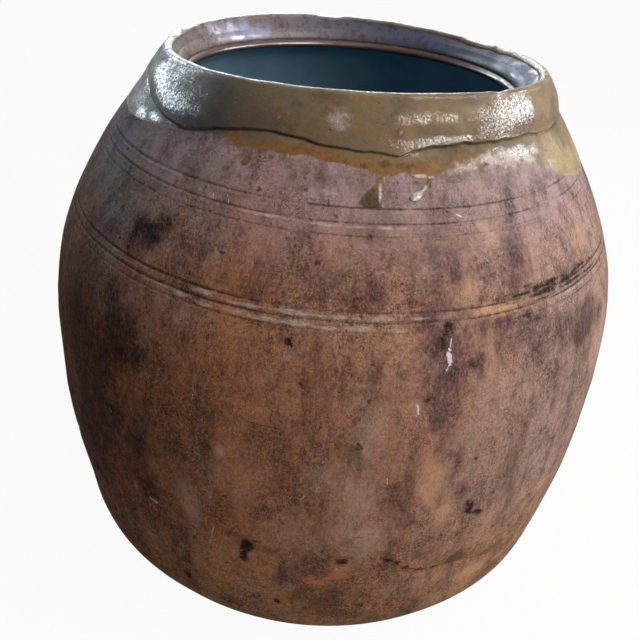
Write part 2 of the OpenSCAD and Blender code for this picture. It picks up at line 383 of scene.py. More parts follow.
def round_curve(points, angle):
    """A smooth closed curve through (angle, value) points, read at any angles."""
    points = sorted(points)
    spots = np.array([p[0] for p in points], float)
    values = np.array([p[1] for p in points], float)
    spots = np.concatenate([spots[-2:] - 360, spots, spots[:2] + 360])
    values = np.concatenate([values[-2:], values, values[:2]])
    slopes = np.gradient(values, spots)
    angle = (np.asarray(angle, float) + 180) % 360 - 180
    i = np.clip(np.searchsorted(spots, angle) - 1, 0, len(spots) - 2)
    step = spots[i + 1] - spots[i]
    return smooth_curve((angle - spots[i]) / step, values[i], values[i + 1],
                        step * slopes[i], step * slopes[i + 1])


# %% Lines, dents and lumps
# Turned lines: height, depth and half-width in millimetres
TURNED_LINES = [
    (303.0, 0.4, 0.6),
    (296.5, 0.3, 0.6),
    (291.0, 0.15, 0.6),
    (257.0, 0.45, 0.7),
    (252.0, 0.5, 0.8),
    (247.5, 0.2, 0.6),
]
# Dents and chips: angle, height, half-width, half-height and depth in millimetres
DENTS = [
    (-85, 48, 70, 11, 2.5),
    (-56, 87, 40, 8, 1.5),
    (-10.6, 91, 4, 7, 0.8),
    (-9.5, 84, 3, 4, 0.6),
    (29, 121, 6, 6, 0.5),
    (2, 69, 4, 3, 0.7),
    (6, 78, 5, 3, 0.7),
    (150, 110, 9, 12, 1.0),
    (-140, 200, 14, 10, 0.8),
]
# Angle and millimetres up or down
SEAM_WANDER = [
    (-180, 2), (-120, -3), (-85, -4), (-52, 7), (-35, 1), (-10, 4), (8, 9), (15.6, 8), (20, 1.5), (24, -1),
    (27, 1), (34, -5), (44, -14), (58, -10), (80, -2), (130, 4),
]
# Lumps: depth and size in millimetres, and a shift
WALL_LUMPS = [(0.7, 70, 3.1), (0.25, 22, 7.7)]
FINGER_RINGS = [(0.16, 60, 1.3)]
RING_SQUEEZE = np.array([1, 1, 9])
LINE_WANDER = [(0.5, 60, 5.5)]
SEAM_DEPTH = 0.6 * MM
SEAM_WIDTH = 1.3 * MM


def hand_made(angle, height):
    """How far the surface stands out from the plain outline, in metres."""
    spots, ring = on_wall(angle, height), neck_spots(angle)
    depth = MM * (layered(spots, WALL_LUMPS) + layered(spots * RING_SQUEEZE, FINGER_RINGS))
    wander = MM * layered(ring, LINE_WANDER)
    for line, cut, half in TURNED_LINES:
        away = height - line * MM - wander
        strength = 0.75 + 0.5 * lumps(ring + line * MM, 50 * MM, 2.2)
        raised = 0.25 * bell(np.abs(away) - 2.2 * half * MM, half * MM)
        depth += cut * MM * strength * (raised - bell(away, half * MM))
    for centre, rise, half, tall, cut in DENTS:
        across = arc_from(angle, centre, wall_radius(rise * MM)) / (half * MM)
        up_down = (height - rise * MM) / (tall * MM)
        depth -= cut * MM * np.exp(-across**4 - up_down**4)
    seam = SEAM_DEPTH * np.clip(0.5 + lumps(ring, 45 * MM, 9.4), 0, 1)
    return depth - seam * bell(height - SEAM_HEIGHT, SEAM_WIDTH)


print(len(TURNED_LINES), "turned lines and", len(DENTS), "dents")

# %% [markdown]
# ## Turning a section
# A section of wall is one closed outline swept round the jar's axis. The Spin operator would do it, but it
# slows down badly over hundreds of steps, and a Screw modifier makes the same sweep at once.
# A circle gets one vertex for each point of the outline, the vertices are moved on to it, and the applied
# modifier carries it round. Then the doubles are merged, the normals are turned outwards, and each
# vertex of the outer face is pushed in or out by the rule above.

# %% Lathe helper
ROUND_STEPS = 600
SAME_POINT = 0.005 * MM
SHARP_EDGE = math.radians(50)


def deselect():
    bpy.ops.object.select_all(action="DESELECT")


def turn_on_wheel(name, outline, steps=ROUND_STEPS):
    """Sweep a closed outline of (radius, height) points once round the axis."""
    deselect()
    bpy.ops.mesh.primitive_circle_add(vertices=len(outline), radius=belly_top.x)
    piece = bpy.context.active_object
    piece.name = name
    for vertex, (radius, height) in zip(piece.data.vertices, outline):
        vertex.co = (0, -radius, height)
    lathe = piece.modifiers.new("lathe", "SCREW")
    lathe.steps = lathe.render_steps = steps
    lathe.use_merge_vertices = True
    bpy.ops.object.modifier_apply(modifier=lathe.name)
    close_and_face_out()
    return piece


def close_and_face_out():
    bpy.ops.object.mode_set(mode="EDIT")
    bpy.ops.mesh.select_all(action="SELECT")
    bpy.ops.mesh.remove_doubles(threshold=SAME_POINT)
    bpy.ops.mesh.delete_loose(use_verts=True, use_edges=True, use_faces=False)
    bpy.ops.mesh.select_all(action="SELECT")
    bpy.ops.mesh.normals_make_consistent(inside=False)
    bpy.ops.object.mode_set(mode="OBJECT")
    bpy.ops.object.shade_smooth_by_angle(angle=SHARP_EDGE)


def read_points(piece):
    points = np.empty(len(piece.data.vertices) * 3)
    piece.data.vertices.foreach_get("co", points)
    return points.reshape(-1, 3)


def write_points(piece, points):
    piece.data.vertices.foreach_set("co", points.ravel())
    piece.data.update()


def read_round(piece):
    """Angle, height and radius of each vertex."""
    points = read_points(piece)
    angle = np.degrees(np.arctan2(points[:, 0], -points[:, 1]))
    return angle, points[:, 2], np.hypot(points[:, 0], points[:, 1])


WIDEST = min(*cad_box[1].xy, *(-cad_box[0]).xy)
# Near the base the handwork fades out over one height, and the seam's wander over another
WORK_FADE = 6 * MM
LIFT_FADE = 8 * MM
LIFT_REACH = 26 * MM


def work_by_hand(piece):
    """Move the seam up and down, then push the outer face in and out."""
    angle, height, radius = read_round(piece)
    outside = radius > wall_radius(height) - 0.5 * MM
    depth = np.where(outside, hand_made(angle, height), 0)
    depth *= np.clip(height / WORK_FADE, 0, 1)
    lift = MM * round_curve(SEAM_WANDER, angle) * bell(height - SEAM_HEIGHT, LIFT_REACH)
    lift *= np.clip((height - FLOOR_HEIGHT) / LIFT_FADE, 0, 1)
    radius = np.minimum(radius + wall_radius(height + lift) - wall_radius(height) + depth, WIDEST)
    write_points(piece, on_wall(angle, height + lift, radius))
    print(piece.name, len(piece.data.polygons), "faces,", round(np.ptp(depth) * 1000, 1), "mm of handwork")


def wall_rows(low, high, coarse=2.2 * MM, fine=0.5 * MM, near=3.4 * MM):
    """Heights from low to high, close together where a line is cut."""
    rows = [low]
    while rows[-1] < high - fine:
        away = min(abs(rows[-1] + fine - line * MM) for line, cut, half in TURNED_LINES)
        rows.append(min(high, rows[-1] + (fine if away < near else coarse)))
    rows[-1] = high
    return rows


# %% [markdown]
# ## Foot, belly and shoulder
# The foot holds the base disc like a plug and ends at a wandering seam. The belly is the widest section,
# and the shoulder closes in from the belt of turned lines to the neck.
# Each outline runs up the outer face and back down the inner one, and the slanted ends between the faces
# are where two sections were luted together.

# %% Foot, belly and shoulder
INNER_STEPS = 16


def outer_side(low, high):
    return [(float(wall_radius(z)), z) for z in wall_rows(low, high)]


def inner_side(low, high, inset=0, steps=INNER_STEPS):
    return [(float(inner_radius(z)) - inset, z) for z in np.linspace(high, low, steps)]


disc_radius = float(inner_radius(FLOOR_HEIGHT))
edge_radius = BASE_RADIUS - BASE_EDGE
edge_turns = np.radians(np.linspace(0, 75, 6))
edge_out = float(wall_radius(BASE_EDGE))
base_edge = [(edge_radius + (edge_out - edge_radius) * math.sin(t), BASE_EDGE * (1 - math.cos(t)))
             for t in edge_turns]

foot = turn_on_wheel("foot", [(disc_radius - DISC_SLANT, 0)] + base_edge
                     + outer_side(BASE_EDGE, SEAM_HEIGHT)
                     + inner_side(FLOOR_HEIGHT, SEAM_HEIGHT + LUTE_SLANT))
belly = turn_on_wheel("belly", outer_side(SEAM_HEIGHT, BELT_HEIGHT)
                      + inner_side(SEAM_HEIGHT + LUTE_SLANT, BELT_HEIGHT + LUTE_SLANT))
shoulder = turn_on_wheel("shoulder", outer_side(BELT_HEIGHT, NECK_HEIGHT)
                         + inner_side(BELT_HEIGHT + LUTE_SLANT, NECK_HEIGHT))
for piece in (foot, belly, shoulder):
    work_by_hand(piece)

# %% [markdown]
# ## Collar and its glaze
# The collar is a strip of clay that was wrapped round the neck, folded down, and pressed on with the
# fingers, so its lower edge wanders and its lip is warped. The glaze follows it, gathers in the crease and
# runs down the shoulder.
# A spin can't make it, because its section changes all the way round. So a grid is rolled
# into a ring: its columns go round the jar and its rows go up the section.

# %% Shape of the collar
# Each list gives (angle, millimetres). Heights are above the neck.
CREASE = [
    (-180, 5), (-140, 2), (-110, 8), (-85, 10.5), (-69, 8.5), (-58, 3), (-48, -0.8), (-38, -2), (-30, 1.5),
    (-24, 4.5), (-12, 5.2), (-3, 2.6), (6, 1.6), (13, 1), (18, 4.2), (25, 5.5), (33, 5), (47, 4.3), (60, 2),
    (90, 3), (130, 6), (160, 2.5),
]
FOLD_OUT = [
    (-180, 2.6), (-150, 2.4), (-110, 0), (-85, -0.8), (-69, 0.5), (-58, 2.2), (-50, 3.2), (-40, 2.6),
    (-28, 1.3), (-14, 1.0), (0, 1.0), (10, 1.5), (18, 2.6), (26, 2.6), (45, 2.0), (60, 1.0), (80, 1.2),
    (120, 2.2),
]
BULGE = [
    (-180, 0.8), (-140, 1), (-90, 0.3), (-50, 2.8), (-20, 1.2), (40, 1.4), (80, 1.4), (140, 0.8),
]
GLAZE_EDGE = [
    (-180, -10), (-140, -8), (-110, -10), (-85, -12), (-67, -11), (-58, -9), (-47, -7), (-39, -5),
    (-32, -5), (-23, -5), (-19, -3.4), (-14, -2.7), (-5, -3.3), (0, -4.7), (5, -6.6), (9, -9), (12, -7),
    (17, -9.5), (21, -9), (28, -10.5), (37, -10.5), (43, -11.5), (51, -15), (57, -20), (66, -25.4),
    (76, -28), (95, -26), (120, -16), (150, -9),
]
# Nicks in the lip: angle, half-width in degrees and depth in millimetres
LIP_NICKS = [
    (-170, 5, 1.3), (131, 7, 1.6), (119, 3, 1.1), (42, 2.5, 0.7), (72, 3, 0.8), (-95, 4, 0.6),
]

LIP_RADIUS = 120.5 * MM
LIP_HEIGHT = 350.6 * MM
LIP_ROUND = 3.2 * MM
LIP_START = math.radians(28)
FOLD_ROUND = 1.1 * MM
GLAZE = 0.9 * MM
STRIP_GLAZE = 0.4 * MM
EDGE_THICKNESS = 0.04 * MM
EDGE_RISE = 3.5 * MM
# How much of the glaze's thickness points outwards
SHOULDER_LEAN = 0.80
NECK_LEAN = 0.86
RIM_RADIUS = 113.1 * MM
RING_WIDTH = 7 * MM
RIM_HEIGHT = RING_HEIGHT + 0.4 * MM
STRIP_COLUMNS = 560
# Lumps of the torn crease, of the ragged glaze and of the fingers: strength, size and shift
TORN = [(0.55, 7, 1.9), (0.35, 3, 4.4)]
RAGGED = [(0.9, 9, 7.1), (0.5, 3.5, 3.3)]
FINGERS = [(0.55, 24, 6.6), (0.18, 8, 2.7)]

around = np.linspace(-180, 180, STRIP_COLUMNS + 1)
ring_spots = neck_spots(around)
crease = NECK_HEIGHT + MM * (round_curve(CREASE, around) + layered(ring_spots, TORN))
fold_out = MM * round_curve(FOLD_OUT, around)
bulge = MM * round_curve(BULGE, around)
glaze_edge = NECK_HEIGHT + MM * (round_curve(GLAZE_EDGE, around) + layered(ring_spots, RAGGED))
glaze_edge = np.minimum(glaze_edge, crease - 2 * MM)

turn = np.radians(around)
lip_radius = LIP_RADIUS + MM * (2.5 * np.sin(turn) + 1.0 * np.cos(turn))
lip_height = LIP_HEIGHT + MM * (1.9 * np.cos(turn + math.radians(6))
                                + 1.8 * np.cos(2 * turn - math.radians(43)))
lip_height += 0.35 * MM * lumps(ring_spots, 14 * MM, 4.2)
for centre, half, cut in LIP_NICKS:
    lip_height -= cut * MM * np.exp(-((angle_between(around, centre) / half) ** 4))
print("lip from", round(lip_height.min() * 1000, 1), "to", round(lip_height.max() * 1000, 1), "mm")


# %% Section of the collar, row by row
def collar_skin(start, edge_thickness):
    """Rows of (radius, height) from `start` on the shoulder, over the collar, to the top of the neck ring."""
    rows = []
    for share in np.linspace(0, 1, 15):
        height = start + (crease - 1.1 * MM - start) * share
        gathered = np.clip((height - start) / EDGE_RISE, 0, 1) ** 0.6
        thick = edge_thickness + (STRIP_GLAZE - edge_thickness) * gathered
        lean = np.where(height < NECK_HEIGHT, SHOULDER_LEAN, NECK_LEAN)
        rows.append((wall_radius(height) + thick * lean, height + thick * (1 - lean)))
    rows.append((wall_radius(crease) - 0.1 * MM, crease - 0.6 * MM))
    rows.append((wall_radius(crease) - 0.8 * MM, crease - 0.1 * MM))
    fold_height = crease + FOLD_ROUND
    fold_centre = wall_radius(fold_height) + fold_out - FOLD_ROUND
    for t in np.radians(np.linspace(-85, 40, 8)):
        rows.append((fold_centre + FOLD_ROUND * math.cos(t), fold_height + FOLD_ROUND * math.sin(t)))
    low_radius, low_height = rows[-1]
    high_radius = lip_radius + LIP_ROUND * math.cos(LIP_START)
    high_height = lip_height - LIP_ROUND * (1 - math.sin(LIP_START))
    for share in np.linspace(0, 1, 14)[1:]:
        swell = bulge * math.sin(math.pi * share)
        rows.append((low_radius + (high_radius - low_radius) * share + swell,
                     low_height + (high_height - low_height) * share))
    for t in np.linspace(LIP_START, math.pi, 11)[1:]:
        rows.append((lip_radius + LIP_ROUND * math.cos(t), lip_height + LIP_ROUND * (math.sin(t) - 1)))
    low_radius, low_height = rows[-1]
    for share in np.linspace(0, 1, 7)[1:]:
        rows.append((low_radius + (RIM_RADIUS - GLAZE - low_radius) * share,
                     low_height + (RIM_HEIGHT - low_height) * share))
    radius = np.array([np.broadcast_to(r, around.shape) for r, z in rows])
    height = np.array([np.broadcast_to(z, around.shape) for r, z in rows])
    return radius, height


def press_fingers(radius, height):
    """Dents of the fingers over the collar, and the lumps that the wall below has too."""
    spots = on_wall(np.broadcast_to(around, height.shape), height)
    wall = MM * layered(spots, WALL_LUMPS)
    above = np.clip((height - crease + 1 * MM) / (3 * MM), 0, 1)
    fingers = MM * layered(spots, FINGERS)
    fade = np.clip((lip_height + 1 * MM - height) / (4 * MM), 0, 1)
    outside = radius > lip_radius - 1 * MM
    return radius + np.where(outside, wall * (1 - above) + fingers * above * (0.35 + 0.65 * fade), 0)


def set_back(radius, height, depth):
    """The same rows, moved square to the section by a depth."""
    along_r, along_z = np.gradient(radius, axis=0), np.gradient(height, axis=0)
    length = np.hypot(along_r, along_z) + NEAR
    return radius - depth * along_z / length, height + depth * along_r / length


# %% Roll the strips
def roll_strip(name, radius, height):
    """A grid, rolled round the neck and closed along its section."""
    rows = len(radius)
    deselect()
    bpy.ops.mesh.primitive_grid_add(x_subdivisions=STRIP_COLUMNS, y_subdivisions=rows, size=1)
    piece = bpy.context.active_object
    piece.name = name
    flat = read_points(piece)
    column = np.rint((flat[:, 0] + 0.5) * STRIP_COLUMNS).astype(int)
    row = np.rint((flat[:, 1] + 0.5) * rows).astype(int) % rows
    write_points(piece, on_wall(around[column], height[row, column], radius[row, column]))
    close_and_face_out()
    print(name, len(piece.data.polygons), "faces")
    return piece


skin = collar_skin(glaze_edge, EDGE_THICKNESS)
skin = (press_fingers(*skin), skin[1])
# The underside of the glaze runs back down, with every third row
under = [rows[::-3] for rows in set_back(*skin, GLAZE)]
glaze_coat = roll_strip("glaze_coat", *[np.concatenate(rows) for rows in zip(skin, under)])

band = collar_skin(np.minimum(NECK_HEIGHT, crease - 1.6 * MM), STRIP_GLAZE)
band = set_back(press_fingers(*band), band[1], GLAZE)
closing = [(RIM_RADIUS + RING_WIDTH, RING_FOOT_RADIUS), (RING_HEIGHT, NECK_HEIGHT)]
closing = [np.array([np.full_like(around, value) for value in pair]) for pair in closing]
collar = roll_strip("collar", *[np.concatenate(rows) for rows in zip(band, closing)])

# %% [markdown]
# ## Glaze runs
# In three places the glaze ran below its edge and set: a short brown run, a thin one that spread out
# on a turned line, and a thick teardrop. Each is a ball that is laid on the wall: its height becomes a
# place along the run, its width a place across, and its front half the thickness.
# The three are joined into one piece, as they are one node of the frame.

# %% Glaze runs
# Thickness, then (angle, height, width) from the top of the run to its tip, in millimetres
RUNS = [
    (0.27, [(-20.9, 322.5, 8), (-20.6, 319, 7), (-20.6, 316, 5.5), (-20.8, 314.2, 3)]),
    (0.35, [(9.8, 320, 12), (8.6, 316.6, 5), (7.6, 313.4, 4.5), (6.6, 309.6, 9), (6.1, 306, 13),
            (5.8, 303.2, 15)]),
    (1.0, [(19.0, 318, 5), (18.4, 315, 2.6), (16.9, 312, 4.6), (15.4, 309.4, 6.6), (14.5, 306.8, 5)]),
]
RUN_EDGE = 0.5 * MM
RUN_FADE = 0.22 * MM


def glaze_run(thickness, stations):
    deselect()
    bpy.ops.mesh.primitive_uv_sphere_add(segments=48, ring_count=40, radius=1)
    piece = bpy.context.active_object
    ball = read_points(piece)
    along = (1 - ball[:, 2]) / 2
    ring = np.hypot(ball[:, 0], ball[:, 1])
    end = np.clip(2.4 * ring, 0, 1) / np.maximum(ring, 1e-6)
    marks = np.linspace(0, 1, len(stations))
    turn, rise, width = [np.interp(along, marks, column) for column in zip(*stations)]
    rise = rise * MM
    side = ball[:, 0] * end * width / 2 * MM
    front = np.clip(ball[:, 1] * end, 0, 1)
    angle = turn + np.degrees(side / wall_radius(rise))
    side_noise = RUN_EDGE * lumps(on_wall(angle, rise), 2.4 * MM, 3.7)
    angle = angle + np.degrees(side_noise * np.abs(ball[:, 0]) / wall_radius(rise))
    lift = np.where(ball[:, 1] > 0, front * thickness * (0.5 + 0.6 * along), ball[:, 1] * 0.4) * MM
    write_points(piece, on_wall(angle, rise, wall_radius(rise) + lift + hand_made(angle, rise)))
    close_and_face_out()
    return piece


drops = [glaze_run(*run) for run in RUNS]
deselect()
for drop in drops:
    drop.select_set(True)
bpy.context.view_layer.objects.active = drops[0]
bpy.ops.object.join()
glaze_drops = bpy.context.active_object
glaze_drops.name = "glaze_drops"
print("glaze drops:", len(glaze_drops.data.polygons), "faces")

# %% [markdown]
# ## Lining
# A dark glaze coats the inside, from the rim over the sharp ridge at the throat down to the floor.
# It is a thin shell that follows the inside of the clay, so it is turned like the wall, with the finger
# rings that a thrown inside keeps.

# %% Lining
THROAT_RADIUS = 107.5 * MM
THROAT_HEIGHT = 330.4 * MM
THROAT_ROUND = 2.6 * MM
FLOOR_CORNER = 9 * MM
GROOVE_RADIUS = 109.0 * MM
GROOVE_HEIGHT = 334.2 * MM
LINING_ROWS = 130
LINING_STEPS = 360
HIDDEN_ROWS = 24

inner_rim = [(GROOVE_RADIUS + (RIM_RADIUS - GLAZE - GROOVE_RADIUS) * t**2,
              GROOVE_HEIGHT + (RIM_HEIGHT - GROOVE_HEIGHT) * t) for t in np.linspace(1, 0, 9)]
inner_rim.append((GROOVE_RADIUS + 0.4 * MM, GROOVE_HEIGHT - 0.5 * MM))
ridge_turns = np.radians(np.linspace(118, 255, 12))
ridge = [(THROAT_RADIUS - GLAZE + THROAT_ROUND * (1 + math.cos(t)),
          THROAT_HEIGHT + THROAT_ROUND * math.sin(t)) for t in ridge_turns]
ceiling = [(113 * MM, 326.2 * MM), (117 * MM, 324.2 * MM)]
inside_wall = inner_side(FLOOR_HEIGHT + FLOOR_CORNER, NECK_HEIGHT - 6 * MM, GLAZE, LINING_ROWS)
corner_radius = inside_wall[-1][0] - FLOOR_CORNER
floor_corner = [(corner_radius + FLOOR_CORNER * math.cos(t),
                 FLOOR_HEIGHT + GLAZE + FLOOR_CORNER * (1 - math.sin(t)))
                for t in np.radians(np.linspace(15, 90, 6))]
floor_rows = [(r, FLOOR_HEIGHT + GLAZE) for r in np.linspace(corner_radius * 0.9, 0, 12)]
hidden_side = [(0, FLOOR_HEIGHT), (disc_radius, FLOOR_HEIGHT)]
hidden_side += inner_side(FLOOR_HEIGHT, NECK_HEIGHT, 0, HIDDEN_ROWS)[::-1][1:]
hidden_side += [(THROAT_RADIUS + THROAT_ROUND, THROAT_HEIGHT - THROAT_ROUND),
                (THROAT_RADIUS + THROAT_ROUND, THROAT_HEIGHT + THROAT_ROUND), (RIM_RADIUS, RING_HEIGHT)]
lining = turn_on_wheel("lining", inner_rim + ridge + ceiling + inside_wall + floor_corner + floor_rows
                       + hidden_side, LINING_STEPS)

angle, height, radius = read_round(lining)
visible = (radius < inner_radius(np.clip(height, FLOOR_HEIGHT, NECK_HEIGHT)) - 0.5 * GLAZE)
visible &= (height > FLOOR_HEIGHT + 2 * FLOOR_CORNER) & (height < NECK_HEIGHT - 5 * MM)
rings = lumps(on_wall(angle, height, radius) * np.array([0.25, 0.25, 1]), 9 * MM, 8.8)
radius -= np.where(visible, 0.5 * MM * (1 + rings), 0)
write_points(lining, on_wall(angle, height, radius))
print("lining:", len(lining.data.polygons), "faces")

# %% [markdown]
# ## Stains on the clay
# Smoke, oil and lime marked the jar where it stood and was handled. A stain is painted as a set of soft
# dabs, each with a place, a size and a strength, and stored on the vertices in two colour attributes.
# The first holds smoke, with broad dabs that also paint the shade of the left side, lime, scorched orange
# and the dirt of the turned lines, the second holds black soot, pale chalk and olive grime. The shader later
# breaks up their edges with fine noise.
# The side that the photograph doesn't show gets seeded dabs of the same kinds.

# %% Dabs
# Angle, height, half-width, half-height and strength; sizes in millimetres
# Smoke stains. The broad dabs far on the left, from -78 to -50 degrees, also paint the shade of that side.
SMOKE_AND_SHADE = [
    (-38, 213, 16, 18, 1.6), (-41, 232, 10, 16, 1.2), (-34, 207, 12, 8, 1.2), (-42, 190, 14, 24, 1.2),
    (-39, 160, 12, 10, 1.3), (-44, 150, 22, 40, 1.2), (-33, 140, 12, 24, 1.0), (-31, 115, 10, 14, 0.9),
    (-50, 120, 24, 50, 1.3), (-52, 195, 30, 50, 1.1), (-64, 145, 40, 70, 1.2), (-78, 150, 50, 76, 1.1),
    (-37, 272, 14, 10, 1.1), (-50, 265, 30, 12, 0.6), (-45, 290, 40, 10, 0.4), (-56, 70, 40, 30, 1.0),
    (20.6, 240, 15, 13, 1.4), (16, 252, 10, 8, 1.0), (24, 229, 15, 13, 1.2), (21, 222, 13, 15, 1.2),
    (19, 204, 12, 13, 1.2), (21, 187, 8, 14, 0.7), (19, 281, 13, 11, 0.8), (23.5, 165, 5, 16, 0.9),
    (26, 143, 5, 10, 1.0), (30, 236, 10, 12, 0.8), (36, 239, 13, 9, 1.0), (38, 226, 13, 14, 0.9),
    (46, 232, 16, 10, 1.0), (30, 246, 14, 7, 0.9), (41, 236, 16, 7, 1.1), (53, 236, 18, 5, 0.9),
    (52, 224, 18, 10, 1.3), (60, 226, 8, 8, 1.0), (47, 222, 14, 8, 0.8), (36, 300, 8, 12, 1.0),
    (35, 280, 8, 14, 1.0), (34, 266, 8, 8, 0.8), (17, 286, 8, 8, 0.8), (22, 274, 8, 8, 1.0),
    (18, 268, 8, 6, 0.7), (54, 205, 12, 10, 0.6), (50, 180, 10, 14, 0.4), (-2, 273, 44, 14, 0.6),
    (24, 276, 34, 16, 0.65), (20, 258, 20, 10, 0.7), (22.4, 255, 10, 7, 0.9), (24.7, 247, 12, 7, 1.0),
    (-12.6, 226, 8, 24, 0.5), (8.8, 222, 8, 20, 0.5), (0, 314, 16, 6, 0.45), (-5, 95, 12, 8, 0.5),
    (-4.6, 72, 5, 22, 0.7), (-7, 98, 8, 5, 0.5), (22, 92, 14, 6, 0.7), (28, 80, 18, 8, 0.7),
    (-5, 285, 10, 8, 0.6), (7, 290, 8, 6, 0.6), (15, 128, 6, 12, 0.6), (10, 32, 30, 6, 0.6),
    (-20, 30, 30, 6, 0.6), (-14, 263, 22, 7, 0.6), (5, 264, 20, 8, 0.7),
]
SOOT = [
    (-39.4, 265, 10, 9, 1.1), (-36.4, 271, 11, 9, 1.1), (-33.8, 280, 9, 8, 1.0), (-11, 95, 4, 6, 2.4),
    (-11.4, 86, 2.6, 5, 2.2), (-9, 102, 5, 1.6, 1.2), (-6, 97, 5, 2, 1.0), (-24, 41, 2.4, 5, 1.8),
    (-5, 42, 3, 4, 1.5), (11, 42, 2.6, 5, 1.3), (-6, 240, 2.8, 1.8, 1.8), (-3.2, 220, 2.4, 2.8, 1.4),
    (3.6, 234, 2.6, 1.6, 1.2), (6.2, 183, 2.0, 2.0, 1.2), (-29, 220, 2.6, 2, 1.2), (6.1, 92, 3.2, 3.6, 2.2),
    (5, 78, 2.6, 4, 1.0), (28.4, 124, 2.4, 5, 2.2), (30, 119.5, 4, 1.8, 2.0), (27.4, 129, 1.8, 4, 1.7),
    (31.2, 118, 3, 1.8, 1.6), (14.5, 92, 3.5, 2, 1.5), (16, 88, 3, 2.4, 1.4), (18, 82, 4, 1.8, 1.6),
    (21, 77, 5, 1.8, 1.5), (24, 76, 6, 1.6, 1.1), (25, 230, 6, 5, 1.1), (20, 248, 5, 5, 1.3),
    (35.5, 247, 6, 4, 1.2), (38, 244, 4, 3, 1.1), (-40, 160, 5, 4, 1.1), (-43, 78, 3.4, 3, 1.4),
    (13.5, 261, 12, 2, 0.9), (-38, 210, 12, 12, 0.8), (-33, 208, 8, 4, 1.0), (18.6, 240, 5, 8, 1.1),
    (21, 226, 6, 6, 0.9), (17, 212, 4, 6, 0.8), (-8, 95, 10, 8, 0.5), (-4.6, 82, 5, 12, 0.5),
    (-3, 52, 22, 8, 0.4), (36, 258.8, 12, 0.9, 1.8), (42, 259.8, 16, 0.9, 2.2), (47, 258.2, 18, 0.9, 2.1),
    (53, 259.4, 14, 0.8, 1.8), (60, 258.4, 14, 0.8, 1.2), (33, 260.5, 10, 0.8, 1.1),
    (40, 256.2, 14, 0.8, 1.7), (50, 255, 16, 0.8, 1.7), (58, 254.4, 14, 0.8, 1.3),
    (40, 253.5, 12, 0.7, 1.1), (30, 259.5, 8, 0.8, 1.1), (38, 262, 12, 1.2, 1.0), (46, 258, 36, 4, 1.0),
]
LIME = [
    (-26, 250.2, 6, 1.2, 1.0), (-21, 249.3, 7, 0.9, 1.3), (-16, 250.1, 6, 1.5, 1.2),
    (-11, 249.4, 9, 1.0, 1.5), (-5, 249.9, 7, 1.6, 1.4), (0, 249.2, 8, 1.1, 1.6), (5, 249.8, 7, 1.4, 1.4),
    (11, 249.3, 8, 1.0, 1.3), (-22, 254.9, 8, 1.3, 1.1), (-14, 254.3, 9, 1.0, 1.3),
    (-6, 254.8, 9, 1.5, 1.5), (2, 254.4, 8, 1.2, 1.4), (9, 254.9, 8, 1.5, 1.4), (15, 254.4, 6, 1.0, 1.0),
    (-40, 254.8, 40, 0.8, 0.6), (-30, 251.6, 12, 0.8, 0.8), (-8, 249.6, 60, 1.0, 0.8),
    (-4, 254.6, 60, 1.0, 0.8), (-5.8, 307, 6, 4, 0.7), (-2, 309, 5, 4, 0.6), (-25, 297.6, 3, 1.2, 1.2),
    (-14, 295.2, 20, 0.8, 1.1), (0, 295, 20, 0.8, 1.1), (10, 294.8, 14, 0.8, 1.1), (32, 254.8, 12, 1, 0.7),
    (48, 251, 30, 0.9, 0.8), (26.5, 268, 3, 1, 1.2), (-34, 109, 1.6, 3, 1.4), (-30, 106.5, 3.4, 1.6, 1.4),
    (-16, 168, 3, 4, 0.8), (15, 207, 1.6, 5, 1.2), (-16, 244, 1.2, 2, 0.9),
]
SCORCH = [
    (20, 150, 9, 18, 1.1), (18.5, 168, 6, 14, 0.9), (23, 125, 7, 14, 1.1), (26, 112, 4, 10, 0.9),
    (27.5, 230, 4, 14, 1.2), (27, 255, 8, 4, 1.3), (31, 254, 8, 3, 1.1), (24, 266, 6, 8, 0.6),
    (-4, 115, 30, 20, 0.5), (-12, 150, 20, 30, 0.6), (3, 165, 10, 30, 0.5), (35, 52, 24, 8, 0.8),
    (45, 48, 14, 6, 0.8), (48, 110, 10, 6, 0.7), (56, 270, 10, 10, 0.6), (47, 275, 12, 8, 0.5),
]
CHALK = [
    (8, 188, 8, 20, 0.9), (7, 146, 13, 28, 1.5), (8, 114, 18, 20, 1.4), (-22, 122, 9, 16, 1.4),
    (-17.5, 128, 3, 12, 0.7), (-16, 168, 4, 7, 1.0), (-25, 240, 6, 10, 0.8), (-12, 190, 4, 8, 0.5),
    (16, 58, 6, 10, 0.6), (24, 60, 12, 6, 0.6), (-28, 108, 8, 6, 0.6), (25, 283, 8, 8, 0.8),
    (24, 270, 7, 18, 1.0), (30, 290, 10, 12, 0.8), (60, 190, 30, 60, 0.6), (58, 120, 26, 50, 0.6),
    (-19, 205, 4, 10, 0.6), (10, 68, 6, 8, 0.5), (42, 140, 20, 30, 0.5), (25, 312, 16, 4, 0.8),
    (12.5, 301, 12, 3.5, 0.9),
]
GRIME = [
    (30, 78, 16, 7, 1.1), (37, 68, 16, 6, 1.1), (45, 60, 14, 5, 0.9), (54, 226, 24, 14, 1.2),
    (24, 84, 10, 5, 0.7), (48, 262, 24, 3, 0.7), (-60, 110, 30, 60, 0.5), (-66, 220, 30, 40, 0.4),
]

# %% Dabs on the unseen side
BACK_SEED = 11
BACK_DABS = 34


def back_dabs(dabs, count, chance, widest):
    """More dabs of one kind for the unseen side."""
    for n in range(count):
        place_angle = chance.uniform(72, 272)
        dabs.append((place_angle, chance.uniform(20, 300), chance.uniform(widest / 5, widest),
                     chance.uniform(widest / 3, widest * 2.6), chance.uniform(0.4, 1.1)))


chance = random.Random(BACK_SEED)
back_dabs(SMOKE_AND_SHADE, BACK_DABS, chance, 24)
back_dabs(SOOT, BACK_DABS // 2, chance, 5)
back_dabs(LIME, BACK_DABS // 4, chance, 4)
back_dabs(SCORCH, BACK_DABS // 3, chance, 30)
back_dabs(CHALK, BACK_DABS // 3, chance, 20)
print("dabs:", [len(dabs) for dabs in (SMOKE_AND_SHADE, SOOT, LIME, SCORCH, CHALK, GRIME)])

